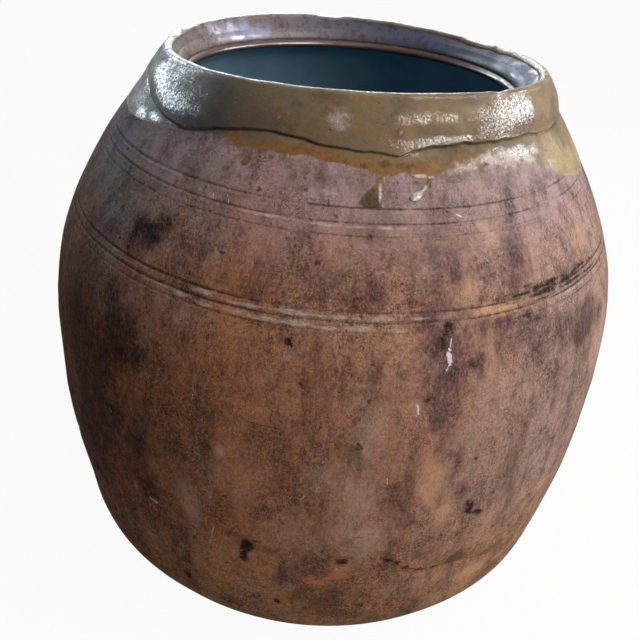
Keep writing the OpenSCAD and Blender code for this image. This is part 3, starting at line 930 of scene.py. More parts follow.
# %% Painting the dabs
# Ragged edges of the dabs: strength, size and shift; dabs smaller than the loose size are less ragged
RAGGED_TURN = [(3.0, 16, 0.7), (1.2, 5, 2.9)]
RAGGED_RISE = [(3.0, 16, 6.1), (1.2, 5, 8.3)]
LOOSE_SIZE = 8
MOST_PAINT = 3


def dabbed(angle, height, dabs):
    """Strength of all the dabs of one kind at each vertex, with ragged edges."""
    spots, radius = on_wall(angle, height), wall_radius(height)
    ragged_turn, ragged_rise = [MM * layered(spots, kinds) for kinds in (RAGGED_TURN, RAGGED_RISE)]
    total = np.zeros_like(height)
    for centre, rise, half, tall, strength in dabs:
        across = arc_from(angle, centre, radius) + ragged_turn * min(1, half / LOOSE_SIZE)
        up_down = height - rise * MM + ragged_rise * min(1, tall / LOOSE_SIZE)
        dab = np.exp(-(across / (half * MM)) ** 2 - (up_down / (tall * MM)) ** 2)
        total = np.maximum(total, strength * dab)
    return np.clip(total, 0, MOST_PAINT)


DIRT_WIDTH = 0.6 * MM
DIRTY_SIDE = -52
DIRTY_REACH = 26


def dirt_in_lines(angle, height):
    """Dirt that stays in the turned lines, heavier in some stretches than in others."""
    ring = neck_spots(angle)
    wander = MM * layered(ring, LINE_WANDER)
    total = np.zeros_like(height)
    for line, cut, half in TURNED_LINES:
        heavy = np.clip(0.72 + 0.7 * lumps(ring + line * MM, 30 * MM, 4.9), 0, 1)
        heavy = np.minimum(heavy + 0.5 * bell(angle_between(angle, DIRTY_SIDE), DIRTY_REACH), 1)
        dirt = bell(height - line * MM - wander, DIRT_WIDTH)
        total = np.maximum(total, min(1, cut + 0.5) * heavy * dirt)
    return total


def paint_vertices(piece, name, red, green, blue, alpha):
    painted = piece.data.color_attributes.new(name, "FLOAT_COLOR", "POINT")
    painted.data.foreach_set("color", np.stack([red, green, blue, alpha], axis=-1).ravel())


def stain(piece):
    angle, height = read_round(piece)[:2]
    smoke_and_shade, lime, scorch = [dabbed(angle, height, dabs) for dabs in (SMOKE_AND_SHADE, LIME, SCORCH)]
    soot, chalk, grime = [dabbed(angle, height, dabs) for dabs in (SOOT, CHALK, GRIME)]
    # The smoke channel also holds painted shade on the left side
    paint_vertices(piece, "stains_and_painted_light", smoke_and_shade, lime, scorch, dirt_in_lines(angle, height))
    paint_vertices(piece, "marks", soot, chalk, grime, 0 * soot)
    print(piece.name, "stained:", round(float((smoke_and_shade > 0.4).mean()) * 100), "% smoke")


for piece in (foot, belly, shoulder):
    stain(piece)

# %% [markdown]
# ## Shared effects
# Clay and glaze share a few effects, each built once as a node group. Soft patches are noise that is cut
# between two levels. Veins are the thin lines where such noise crosses its middle, like hair cracks and fine
# scratches. Pits are the dark points where grit burnt out or glaze broke. Broken stain takes a
# painted amount and multiplies it with a cloud, so that a heavy stain is mottled and a light one is only
# specks. A scratch is the space near a straight line, with a ragged width.

# %% Node groups
VECTOR, FLOAT, COLOUR = "NodeSocketVector", "NodeSocketFloat", "NodeSocketColor"


def new_group(name, inputs, outputs):
    group = bpy.data.node_groups.new(name, "ShaderNodeTree")
    for socket, kind, value in inputs:
        made = group.interface.new_socket(socket, in_out="INPUT", socket_type=kind)
        if value is not None:
            made.default_value = value
    for socket, kind in outputs:
        group.interface.new_socket(socket, in_out="OUTPUT", socket_type=kind)
    return group, place(group, "NodeGroupInput").outputs


def put_out(group, values):
    place(group, "NodeGroupOutput", values)


def vector_sum(tree, operation, first, second, output=0):
    return place(tree, "ShaderNodeVectorMath", {0: first, 1: second}, operation=operation).outputs[output]


def scaled_by(tree, vector, amount):
    return place(tree, "ShaderNodeVectorMath", {0: vector, "Scale": amount}, operation="SCALE").outputs[0]


# Most of the noise lies between these two values
NOISE_RANGE = (0.3, 0.7)
VEIN_WIDTH = (0.004, 0.016)

soft_patches, given = new_group("soft_patches", [
    ("Position", VECTOR, None), ("Scale", VECTOR, (40, 40, 40)), ("Low", FLOAT, 0.4), ("High", FLOAT, 0.6),
    ("Detail", FLOAT, 4), ("Roughness", FLOAT, 0.6)], [("Mask", FLOAT), ("Veins", FLOAT)])
scaled = vector_sum(soft_patches, "MULTIPLY", given["Position"], given["Scale"])
cloud = noise(soft_patches, scaled, 1, given["Detail"], given["Roughness"])
cut = spread(soft_patches, cloud, 0, 1, given["Low"], given["High"], interpolation_type="SMOOTHSTEP")
off_middle = sum_of(soft_patches, "ABSOLUTE", sum_of(soft_patches, "SUBTRACT", cloud, 0.5), 0)
put_out(soft_patches, {"Mask": cut, "Veins": spread(soft_patches, off_middle, 1, 0, *VEIN_WIDTH)})

small_pits, given = new_group("small_pits", [
    ("Position", VECTOR, None), ("Per Metre", FLOAT, 200), ("Reach", FLOAT, 0.25),
    ("Share", FLOAT, 0.3)], [("Pits", FLOAT)])
bend = scaled_by(small_pits, noise(small_pits, given["Position"], 800, 2, output=1), 0.003)
cells = place(small_pits, "ShaderNodeTexVoronoi", {
    "Vector": vector_sum(small_pits, "ADD", given["Position"], bend),
    "Scale": given["Per Metre"], "Randomness": 1}).outputs
chosen = place(small_pits, "ShaderNodeSeparateColor", {0: cells["Color"]}).outputs
some = sum_of(small_pits, "LESS_THAN", chosen[0], given["Share"])
size = times(small_pits, given["Reach"], spread(small_pits, chosen[1], 0.3, 1))
hole = spread(small_pits, cells["Distance"], 1, 0, 0.05, size)
put_out(small_pits, {"Pits": times(small_pits, hole, some)})

broken_stain, given = new_group("broken_stain", [
    ("Amount", FLOAT, 0), ("Position", VECTOR, None), ("Per Metre", FLOAT, 150), ("Fray", FLOAT, 0.5),
    ("Low", FLOAT, 0.3), ("High", FLOAT, 0.7), ("Grain", FLOAT, 0.4)], [("Mask", FLOAT)])
cloud = noise(broken_stain, given["Position"], given["Per Metre"], 9, 0.72)
uneven = times(broken_stain, spread(broken_stain, cloud, -1, 1, *NOISE_RANGE), given["Fray"])
total = times(broken_stain, given["Amount"], sum_of(broken_stain, "ADD", uneven, 1))
edge = spread(broken_stain, total, 0, 1, given["Low"], given["High"], interpolation_type="SMOOTHSTEP")
fine = noise(broken_stain, given["Position"], 620, 6, 0.75)
gaps = times(broken_stain, spread(broken_stain, fine, 1, 0, 0.4, 0.6), given["Grain"])
put_out(broken_stain, {"Mask": times(broken_stain, edge, rest_of(broken_stain, gaps))})

scratch, given = new_group("scratch", [
    ("Position", VECTOR, None), ("From", VECTOR, None), ("To", VECTOR, None),
    ("Half Width", FLOAT, 0.0008)], [("Mask", FLOAT)])
run = vector_sum(scratch, "SUBTRACT", given["To"], given["From"])
reach = vector_sum(scratch, "SUBTRACT", given["Position"], given["From"])
along = sum_of(scratch, "DIVIDE", vector_sum(scratch, "DOT_PRODUCT", reach, run, "Value"),
               vector_sum(scratch, "DOT_PRODUCT", run, run, "Value"))
along = place(scratch, "ShaderNodeClamp", {0: along}).outputs[0]
gap = vector_sum(scratch, "DISTANCE", reach, scaled_by(scratch, run, along), "Value")
ragged = spread(scratch, noise(scratch, given["Position"], 700, 3), 0.2, 1.5, *NOISE_RANGE)
width = times(scratch, given["Half Width"], ragged)
put_out(scratch, {"Mask": spread(scratch, gap, 1, 0, times(scratch, width, 0.4), width)})
print("node groups:", [g.name for g in bpy.data.node_groups])


# %% Placing the effects in a material
def effect(tree, group, *values):
    """A node group, with its inputs filled in their order."""
    return place(tree, "ShaderNodeGroup", dict(enumerate(values)), node_tree=group).outputs


def patches(tree, position, scale, low, high, detail=4, roughness=0.6, output="Mask"):
    return effect(tree, soft_patches, position, scale, low, high, detail, roughness)[output]


def pits(tree, position, per_metre, reach, share):
    return effect(tree, small_pits, position, per_metre, reach, share)[0]


def frayed_stain(tree, amount, position, per_metre, fray, low, high, grain=0.4):
    return effect(tree, broken_stain, amount, position, per_metre, fray, low, high, grain)[0]


def scratches(tree, position, marks):
    """One mask for a list of scratches: start and end as (angle, height), and half-width in millimetres."""
    mask = 0.0
    for start, end, half in marks:
        ends = [on_wall(turn, rise * MM) for turn, rise in (start, end)]
        mask = sum_of(tree, "MAXIMUM", mask, effect(tree, scratch, position, *ends, half * MM)[0])
    return mask


def ramp(tree, value, low, high):
    """0 at `low` and 1 at `high`, along a coordinate."""
    return spread(tree, value, 0, 1, low, high)


def layer(tree, under, mask, amount, top):
    """A coat of `top` over a colour, where the mask says, at a strength."""
    return over(tree, times(tree, mask, amount), under, top)


def layers(tree, colour, coats):
    """Coats of (mask, strength, colour), one over the other."""
    for coat in coats:
        colour = layer(tree, colour, *coat)
    return colour


# %% Parts that the materials share
def coordinates(tree):
    """A place on the piece, and its x, y and z."""
    spot = place(tree, "ShaderNodeTexCoord").outputs["Object"]
    return spot, place(tree, "ShaderNodeSeparateXYZ", {0: spot}).outputs


def read_paint(tree, name):
    """The four amounts that a colour attribute holds."""
    paint = place(tree, "ShaderNodeAttribute", attribute_name=name).outputs
    red, green, blue = place(tree, "ShaderNodeSeparateColor", {0: paint["Color"]}).outputs
    return red, green, blue, paint["Alpha"]


def bumped(tree, height, strength, deep):
    """A normal that follows a height, with the depth in millimetres."""
    values = {"Strength": strength, "Distance": deep * MM, "Height": height}
    return place(tree, "ShaderNodeBump", values).outputs[0]


def shade(tree, values):
    """The shader of a material, with links and plain values on its sockets."""
    body = place(tree, "ShaderNodeBsdfPrincipled", values)
    place(tree, "ShaderNodeOutputMaterial", {0: body.outputs[0]})


# %% [markdown]
# ## Fired clay
# The clay is a coarse brown body: orange-brown on the belly, pinker and greyer on the shoulder and to the
# right, with dark grit and hair cracks. A painted sky sheen turns its upper left blue-grey, and painted shade
# darkens its lower left. It also shows through where the glaze thins out, so its colour is a node group of
# its own. The clay material lays the stains and the painted shade over it, then the chips and scratches.

# %% Clay colours
CLAY_BROWN = chart(208, 140, 99)
CLAY_MAUVE = chart(178, 146, 145)
CLAY_TAN = chart(186, 160, 151)
CLAY_ORANGE = chart(206, 126, 74)
CLAY_DARK = chart(82, 56, 44)
CLAY_SHADE = chart(66, 44, 36)
CLAY_BLOOM = chart(190, 162, 146)
CLAY_FOOT = chart(224, 165, 118)
# Painted sheen of a blue sky on the upper left
CLAY_SHEEN_GREY = chart(154, 165, 175)
CLAY_ROSE = chart(184, 166, 170)
# Smoke, and the painted shade of the left side
SMOKE_AND_SHADE_COLOUR = chart(46, 36, 38)
SMOKE_PURPLE = chart(76, 55, 63)
SOOT_COLOUR = chart(16, 15, 18)
LIME_COLOUR = chart(192, 181, 173)
CHALK_COLOUR = chart(208, 172, 150)
SCORCH_COLOUR = chart(220, 168, 134)
CHIP_COLOUR = chart(206, 130, 100)
GRIME_COLOUR = chart(92, 80, 60)
GRIT = chart(30, 21, 18)
LINE_DIRT = chart(40, 29, 26)
SCRATCH_COLOUR = chart(232, 228, 230)
YELLOW = chart(214, 178, 40)

# %% The clay itself
# Along x or z, in metres: where a change of colour begins and where it is complete
TO_SHOULDER = (0.262, 0.308)
TO_RIGHT = (-0.05, 0.13)
TO_FOOT = (0.13, 0.06)
# Painted blue-grey sheen on the upper left
TO_SHEEN = (-0.05, -0.13)
TO_SHEEN_UP = (0.21, 0.28)
# Painted shade: the lower left of the clay grows darker towards its edge
TO_SHADED_SIDE = (-0.06, -0.15)
TO_SHADED_BELOW = (0.25, 0.20)
# Scale, low, high, detail, roughness, strength and colour of each layer of noise
CLOUDS = [
    ((17, 17, 9), 0.48, 0.68, 10, 0.7, 0.6, CLAY_DARK),
    ((60, 60, 9), 0.48, 0.68, 8, 0.7, 0.55, CLAY_DARK),
    ((38, 38, 20), 0.48, 0.68, 9, 0.7, 0.55, CLAY_BLOOM),
    ((80, 80, 50), 0.48, 0.68, 10, 0.75, 0.65, CLAY_DARK),
    ((12, 12, 560), 0.52, 0.78, 3, 0.6, 0.25, CLAY_DARK),
    ((14, 14, 420), 0.56, 0.80, 3, 0.6, 0.3, CLAY_BLOOM),
]
# The same for the finest ones, which come in crowds and are weaker on the shoulder and to the right
GRAINS = [
    ((230, 230, 180), 0.46, 0.64, 10, 0.8, 0.6, CLAY_SHADE),
    ((640, 640, 480), 0.46, 0.60, 8, 0.75, 0.6, CLAY_SHADE),
    ((420, 420, 110), 0.52, 0.70, 6, 0.7, 0.45, CLAY_SHADE),
    ((1100, 1100, 900), 0.46, 0.58, 6, 0.75, 0.6, CLAY_SHADE),
    ((620, 620, 540), 0.54, 0.64, 8, 0.75, 0.8, CLAY_BLOOM),
]
# Hair lines, dark and pale: scale, strength and colour
HAIRS = [
    ((85, 85, 70), 0.6, CLAY_SHADE),
    ((140, 140, 60), 0.45, CLAY_SHADE),
    ((60, 60, 150), 0.3, CLAY_BLOOM),
]

# %% Node group of the clay
# Besides the clay's own colour, the group paints a sky sheen on the upper left and shade on the lower left
clay_body, given = new_group("clay_body", [("Position", VECTOR, None)], [("Color", COLOUR), ("Grit", FLOAT)])
tree, spot = clay_body, given["Position"]
x, y, z = place(tree, "ShaderNodeSeparateXYZ", {0: spot}).outputs
on_shoulder, on_right = ramp(tree, z, *TO_SHOULDER), ramp(tree, x, *TO_RIGHT)
below_shoulder = rest_of(tree, times(tree, on_shoulder, 0.7))
warm = patches(tree, spot, (13, 13, 10), 0.42, 0.64, 8, 0.7)
colour = layers(tree, over(tree, on_shoulder, CLAY_BROWN, CLAY_MAUVE), [
    (times(tree, on_right, below_shoulder), 0.85, CLAY_TAN),
    (times(tree, on_right, on_shoulder), 0.7, CLAY_ROSE),
    (ramp(tree, z, *TO_FOOT), 0.75, CLAY_FOOT),
    # painted blue-grey sheen on the upper left
    (times(tree, ramp(tree, x, *TO_SHEEN), ramp(tree, z, *TO_SHEEN_UP)), 0.92, CLAY_SHEEN_GREY),
    (times(tree, warm, sum_of(tree, "SUBTRACT", below_shoulder, on_right)), 0.5, CLAY_ORANGE),
])
crowded = patches(tree, spot, (30, 30, 26), 0.40, 0.62, 5)
uneven = times(tree, spread(tree, crowded, 0.6, 1), spread(tree, on_shoulder, 1, 0.5))
uneven = times(tree, uneven, spread(tree, on_right, 1, 0.75))
for *noisy, amount, paint in CLOUDS:
    colour = layer(tree, colour, patches(tree, spot, *noisy), amount, paint)
for *noisy, amount, paint in GRAINS:
    colour = layer(tree, colour, times(tree, patches(tree, spot, *noisy), uneven), amount, paint)
# Painted shade: darker, with dark flecks, towards the lower left edge
painted_shade_side = times(tree, ramp(tree, x, *TO_SHADED_SIDE), ramp(tree, z, *TO_SHADED_BELOW))
shade_flecks = times(tree, patches(tree, spot, (200, 200, 150), 0.46, 0.56, 10, 0.85), painted_shade_side)
colour = layers(tree, colour, [(painted_shade_side, 0.2, CLAY_SHADE), (shade_flecks, 0.75, GRIT)])
for scale, amount, paint in HAIRS:
    hair = patches(tree, spot, scale, 0.4, 0.6, 9, 0.7, "Veins")
    colour = layer(tree, colour, times(tree, hair, crowded), amount, paint)
fine_grit = pits(tree, spot, 400, 0.45, times(tree, crowded, 0.5))
grit = sum_of(tree, "MAXIMUM", pits(tree, spot, 120, 0.26, 0.24), fine_grit)
put_out(tree, {"Color": layer(tree, colour, grit, 0.75, GRIT), "Grit": grit})
print("clay body nodes:", len(tree.nodes))

# %% Scratches and marks
PALE_SCRATCHES = [
    ((20.4, 243.5), (19.9, 236), 0.6), ((19.9, 236), (20.2, 231.5), 1.9), ((20.2, 231), (19.5, 227.5), 0.7),
    ((20.0, 239), (20.3, 234), 1.0), ((28.6, 271), (26.6, 268.6), 0.6), ((24.5, 264), (22.6, 260.4), 0.55),
    ((-34, 113), (-33.5, 107), 0.7), ((-30.6, 106), (-29, 104.6), 1.2), ((-29, 104.6), (-27.6, 104), 0.7),
    ((-17, 105), (-18, 89), 0.6), ((-25.1, 299), (-24.9, 297.4), 0.45),
    ((-21.6, 298.6), (-21.5, 297.2), 0.4), ((-21, 199), (-20.9, 197), 0.6),
    ((23.4, 300), (24.6, 298.6), 0.6), ((11, 136), (10.7, 133), 0.5), ((15.1, 209), (15.4, 204), 0.9),
    ((11.6, 162), (11.8, 157), 0.5), ((-40, 159), (-39.4, 157.6), 0.6),
]
DARK_SCRATCHES = [
    ((-11, 97.5), (-11.4, 93), 4.2), ((-11.2, 92), (-11.6, 85), 2.6), ((6, 93), (6.6, 91), 3.0),
    ((28.0, 124.5), (29.6, 119), 1.5), ((29.2, 121), (31.6, 119.6), 1.1), ((29.2, 122), (29.8, 127), 0.9),
    ((-2.2, 306), (-2, 303), 0.8), ((6.2, 186.5), (7, 183), 1.2), ((13, 95), (15.5, 90), 0.7),
    ((18.6, 285), (18.4, 277), 0.4), ((15.5, 90), (18, 81), 0.6), ((-6, 241), (-5.4, 238), 1.2),
    ((18, 81), (22.5, 75.5), 0.8), ((10.5, 98), (11.4, 94), 0.8), ((20.5, 270), (22.5, 266), 0.6),
    ((23, 266), (22.4, 261), 0.5), ((-12, 192), (-6, 191), 0.4), ((-34, 201), (-28, 206), 0.5),
]
YELLOW_MARK = [((-1.4, 146.5), (-2, 143), 1.1)]
CHIPS = [
    ((0.8, 70), (2.9, 68.8), 6.6), ((1.0, 75), (1.2, 70), 2.2), ((3.4, 73), (4.6, 74.6), 3.4),
    ((4.8, 76.6), (7.0, 77.6), 5.8), ((5.6, 80), (5.9, 75), 2.4), ((47.6, 111), (48.6, 108), 1.8),
]

# %% Clay material
TO_PURPLE = (-0.06, 0.05)

clay, tree = new_material("fired_clay")
spot, (x, y, z) = coordinates(tree)
tall = vector_sum(tree, "MULTIPLY", spot, (1, 1, 0.5))
brushed = vector_sum(tree, "MULTIPLY", spot, (0.6, 0.6, 1.6))
smoke_and_shade, lime, scorch, dirt = read_paint(tree, "stains_and_painted_light")
soot, chalk, grime = read_paint(tree, "marks")[:3]
smoke_and_shade_colour = over(tree, ramp(tree, x, *TO_PURPLE), SMOKE_AND_SHADE_COLOUR, SMOKE_PURPLE)
# Painted amount, position, noise per metre, fray, low, high and grain, then strength and colour
STAINS = [
    (chalk, tall, 70, 0.8, 0.1, 1.3, 0.6, 0.72, CHALK_COLOUR),
    (scorch, tall, 90, 0.7, 0.1, 1.1, 0.5, 0.8, SCORCH_COLOUR),
    (grime, spot, 90, 0.8, 0.1, 1.1, 0.5, 0.75, GRIME_COLOUR),
    # Smoke, with painted shade on the left side
    (smoke_and_shade, tall, 60, 0.7, 0.1, 1.05, 0.6, 0.9, smoke_and_shade_colour),
    (soot, spot, 170, 0.9, 0.2, 1.4, 0.2, 0.95, SOOT_COLOUR),
    (lime, brushed, 260, 1.0, 0.2, 1.15, 0.65, 0.92, LIME_COLOUR),
    (dirt, spot, 180, 0.7, 0.15, 0.9, 0.3, 0.8, LINE_DIRT),
]
MARKS = [
    (CHIPS, 0.75, CHIP_COLOUR),
    (DARK_SCRATCHES, 0.7, GRIT),
    (PALE_SCRATCHES, 0.9, SCRATCH_COLOUR),
    (YELLOW_MARK, 1, YELLOW),
]
colour, grit = effect(tree, clay_body, spot)
for *broken, amount, paint in STAINS:
    colour = layer(tree, colour, frayed_stain(tree, *broken), amount, paint)
for marks, amount, paint in MARKS:
    colour = layer(tree, colour, scratches(tree, spot, marks), amount, paint)

dusty = patches(tree, spot, (95, 95, 70), 0.44, 0.70, 6)
height = sum_of(tree, "SUBTRACT", noise(tree, spot, 560, 6, 0.7), times(tree, grit, 1.2))
shade(tree, {
    "Base Color": colour, "Roughness": spread(tree, dusty, 0.72, 0.9),
    "Normal": bumped(tree, height, 0.9, 0.5), "Specular IOR Level": 0.01})
print("clay nodes:", len(tree.nodes))

# %% [markdown]
# ## Olive glaze
# The glaze on the collar is a thin brown glass over the clay. Where it is thick it is dark olive, where it
# thinned out it burnt to ochre, and along its lower edge it fades into the clay. It is glassy only in
# places, and dull where it weathered, so the shine is a coat whose weight is painted.
# Dabs mark all this, as on the clay. One attribute holds crust with painted glints on the runs, painted lilac
# reflections inside the rim, ochre, rust and the dirt of the crease, another holds shine, thinness, browned
# glaze and straw-yellow glaze.

# %% Dabs on the glaze
# Pale crust, and painted glints: the small dabs on the glaze runs and the teardrop are painted highlights
CRUST_AND_GLINTS = [
    (40, 320, 11, 4.5, 1.6), (34, 322, 9, 4, 1.3), (47, 318.5, 8, 4, 1.4), (28, 320.5, 9, 3.4, 0.9),
    (24, 318.5, 8, 2, 0.8), (-1.7, 341.5, 6, 5, 0.7), (150, 338, 24, 6, 0.8), (-120, 340, 18, 6, 0.8),
    (-160, 333, 16, 5, 0.7), (12.5, 337, 0.8, 0.8, 1.1), (-15.6, 339, 0.8, 0.8, 1.1),
    (16, 317.2, 10, 0.9, 1.3), (15.2, 308.6, 3.2, 4.2, 1.3), (17.2, 313, 1.4, 3, 0.8),
    (7.9, 309.5, 0.9, 4.5, 1.0), (3.2, 303.6, 3, 1.2, 0.9), (8.8, 304.2, 2.4, 1.2, 1.0),
    (8.8, 315.6, 1, 3, 0.7), (41, 352, 6, 1.4, 0.9), (55, 314, 9, 6, 0.7),
]
OCHRE = [
    (-25, 324, 9, 3.4, 1.5), (-19, 323, 8, 4, 1.5), (-12, 323.6, 14, 3.8, 1.9), (-4, 323.4, 12, 3.4, 1.9),
    (2, 322, 10, 3, 1.5), (7, 319.5, 9, 4, 1.6), (9, 316.5, 5, 4, 1.6), (14, 320, 10, 4, 1.4),
    (20, 320, 9, 4, 1.2), (28, 323, 10, 4, 1.0), (18.6, 316, 3, 2, 1.6), (-35, 322, 10, 3, 0.5),
    (160, 321, 40, 5, 1.1), (-150, 322, 40, 5, 1.1), (-100, 318, 30, 5, 0.8), (4, 335, 14, 5, 0.4),
    (18, 337.5, 14, 3, 0.4), (-6, 334, 14, 4, 0.3), (25, 338, 10, 2.4, 0.5), (-20.6, 318, 5, 5, 0.7),
]
STRAW = [
    (60, 316, 18, 12, 1.4), (66, 306, 16, 10, 1.6), (78, 302, 18, 12, 1.5), (60, 338, 20, 12, 0.5),
    (52, 328, 12, 4, 0.5), (110, 312, 30, 8, 1.0), (30, 347, 12, 3, 0.5), (24, 340, 12, 4, 0.4),
    (50, 342, 14, 10, 0.25),
]
RUST = [
    (12, 337.5, 6, 5, 0.9), (-16, 340, 6, 5, 0.7), (-3, 333, 8, 3, 0.6), (41, 350, 5, 2.4, 2.0),
    (131, 350, 9, 3, 1.6), (-170, 350, 8, 3, 1.6), (119, 350, 5, 3, 1.5), (17.5, 320, 3, 3, 0.8),
    (-50, 351, 4, 2, 1.0),
]
SHINE = [
    (-52, 338, 13, 6, 1.9), (-45, 334.5, 14, 5, 2.0), (-59, 341, 9, 6, 1.6), (-37, 332.5, 11, 4, 1.4),
    (-50, 341, 26, 11, 1.0), (-40, 336, 18, 8, 0.9), (-66, 328, 20, 14, 0.8), (-48, 347.8, 16, 1.4, 1.4),
    (-38, 348.5, 10, 1.1, 1.0), (-59, 317.5, 9, 4, 1.4), (-51, 320.5, 9, 2.3, 1.4),
    (-44, 322.5, 7, 1.4, 1.1), (-78, 332, 14, 10, 0.5), (13, 343, 8, 2.6, 1.2), (19, 343.8, 9, 2.8, 1.5),
    (24, 343.5, 8, 2.4, 1.3), (29, 343, 6, 2, 0.7), (12, 331.5, 8, 1.9, 2.4), (17, 332, 8, 1.8, 2.4),
    (22, 333, 8, 1.6, 2.3), (27, 333.8, 8, 1.5, 2.1), (32, 334.4, 7, 1.3, 1.7), (15, 327.5, 6, 1.7, 1.8),
    (35, 342, 9, 7, 2.2), (41, 341, 13, 9, 2.6), (47, 342, 10, 8, 2.3), (38, 336, 10, 5, 2.2),
    (49, 344, 6, 3, 1.1), (45, 349, 10, 2, 1.3), (45, 323, 10, 3, 1.4), (51, 322, 6, 3, 1.0),
    (38, 326, 7, 1.2, 1.0), (-1.7, 341.5, 6, 5, 0.6), (7.8, 309.5, 1.2, 5, 2.0), (15.6, 310, 5, 6, 2.5),
    (110, 338, 30, 8, 1.2), (160, 340, 30, 6, 1.0), (-150, 340, 34, 7, 1.2), (-105, 338, 20, 8, 1.0),
]
BROWNED = [
    (6, 306, 9, 5, 1.6), (-20.6, 317, 6, 4.5, 0.6), (-30, 345, 14, 4, 0.5), (9.2, 322, 4, 2, 0.9),
    (4, 320, 3, 2, 0.9), (-8, 320.5, 10, 1.2, 1.0), (14, 322, 6, 2, 0.8), (22, 319, 6, 2, 0.7),
]
# On the inner side of the rim, which the inside glaze shares
RIM_SHINE = [
    (-119, 343, 12, 6, 1.2), (-128, 342, 13, 6, 1.4), (-138, 340, 10, 5, 1.1), (112, 341, 12, 5, 0.5),
    (60, 340, 30, 6, 0.5), (-60, 340, 40, 6, 0.5), (114, 349, 10, 2.4, 1.5), (102, 349, 12, 3, 1.9),
    (90, 348.5, 12, 3.2, 1.9), (78, 348, 12, 3, 1.5), (98, 338, 10, 2, 0.9), (106, 344, 16, 3, 0.7),
]
# Painted lilac reflections on the inner side of the rim
RIM_LILAC_REFLECTION = [
    (-118, 344, 9, 6, 1.2), (-125, 342, 11, 7, 1.5), (-133, 341, 11, 7, 1.6), (-141, 341, 8, 6, 1.2),
    (-110, 345, 6, 3, 0.7), (112, 343, 12, 4, 0.9), (100, 343, 12, 4, 1.0), (90, 342, 12, 4, 0.9),
    (175, 343, 8, 4, 0.4),
]
# Width in millimetres over which the glaze fades into the clay at its lower edge, by angle
FADE = [
    (-180, 4), (-120, 4), (-70, 2), (-55, 1.6), (-45, 3.5), (-30, 4.5), (-22, 2.4), (-14, 1.0), (10, 1.0),
    (18, 1.4), (26, 4), (36, 6), (48, 5.5), (56, 2.5), (64, 1.2), (80, 1.4), (130, 3),
]


# %% Painting the glaze
def stain_glaze(piece, fading):
    angle, height, radius = read_round(piece)
    outside = radius > np.interp(angle, around, lip_radius)
    crease_here = np.interp(angle, around, crease)
    in_groove = radius < wall_radius(height) + 0.1 * MM
    crack = np.where(in_groove, bell(height - crease_here, 1.0 * MM), 0)
    # Crust, with painted glints on the glaze runs
    crust_and_glints, ochre, rust = [dabbed(angle, height, dabs) * outside for dabs in (CRUST_AND_GLINTS, OCHRE, RUST)]
    # Inside the rim the same channel holds painted lilac reflections
    crust_and_glints += dabbed(angle, height, RIM_LILAC_REFLECTION) * ~outside
    pale_edge = 0.3 * bell(height - crease_here + 1.9 * MM, 0.6 * MM) * bell(angle_between(angle, -12), 26)
    paint_vertices(piece, "stains_and_painted_light", np.maximum(crust_and_glints, pale_edge * fading), ochre, rust, crack)
    above_edge = height - np.interp(angle, around, glaze_edge)
    thin = bell(np.maximum(above_edge, 0), MM * round_curve(FADE, angle))
    if not fading:
        thin = bell(np.maximum(radius - wall_radius(height) - hand_made(angle, height), 0), RUN_FADE)
    on_lip = np.clip((height - np.interp(angle, around, lip_height) + 2.2 * MM) / (1 * MM), 0, 1)
    shine = np.where(outside, dabbed(angle, height, SHINE), dabbed(angle, height, RIM_SHINE))
    shine = np.maximum(shine, 1.3 * on_lip)
    browned, straw = dabbed(angle, height, BROWNED), dabbed(angle, height, STRAW) * outside
    paint_vertices(piece, "finish", shine, thin, browned, straw)


stain_glaze(glaze_coat, 1)
stain_glaze(glaze_drops, 0)
print("glaze dabs:", len(CRUST_AND_GLINTS), len(OCHRE), len(RUST), len(SHINE))

# %% Glaze colours
GLAZE_OLIVE = chart(124, 106, 82)
# Dark blue-grey of the collar's left side: glaze tone and painted shade
GLAZE_GREEN_AND_SHADE = chart(60, 68, 73)
GLAZE_DARK = chart(60, 51, 43)
GLAZE_AMBER = chart(142, 113, 75)
GLAZE_OCHRE = chart(142, 98, 46)
GLAZE_STRAW = chart(180, 160, 118)
# Pale crust, and the painted highlights on the runs
GLAZE_CRUST_AND_GLINT = chart(222, 212, 204)
GLAZE_RUST = chart(122, 70, 50)
GLAZE_BROWN = chart(78, 54, 34)
RIM_BROWN = chart(128, 115, 111)
RIM_SLATE = chart(80, 83, 101)
# Painted reflection of a pale sky, on the inner rim
LILAC_REFLECTION = chart(158, 160, 194)

# %% Glaze material
# Along x or out from the axis, in metres: where a change begins and where it is complete
# Glaze tone and painted shade: darker blue-grey to the left
TO_GREEN_AND_SHADE = (-0.03, -0.07)
TO_INSIDE = (0.1195, 0.1165)
TO_SLATE = (-0.095, 0.03)


def rim_colour(tree, spot, x):
    """Brown on the left of the rim and slate on its right, mottled."""
    rim = over(tree, ramp(tree, x, *TO_SLATE), RIM_BROWN, RIM_SLATE)
    return layer(tree, rim, patches(tree, spot, (150, 150, 120), 0.46, 0.62, 9, 0.75), 0.6, GLAZE_DARK)


# Frayed mask of the painted lilac reflections
def frayed_reflection(tree, amount, spot):
    return frayed_stain(tree, amount, spot, 90, 0.6, 0.1, 1.6, 0.3)


olive, tree = new_material("olive_glaze")
spot, (x, y, z) = coordinates(tree)
flat = place(tree, "ShaderNodeCombineXYZ", {0: x, 1: y}).outputs[0]
from_axis = place(tree, "ShaderNodeVectorMath", {0: flat}, operation="LENGTH").outputs["Value"]
inside = ramp(tree, from_axis, *TO_INSIDE)
crust_and_glints, ochre, rust, crack = read_paint(tree, "stains_and_painted_light")
shine, thin, browned, straw = read_paint(tree, "finish")

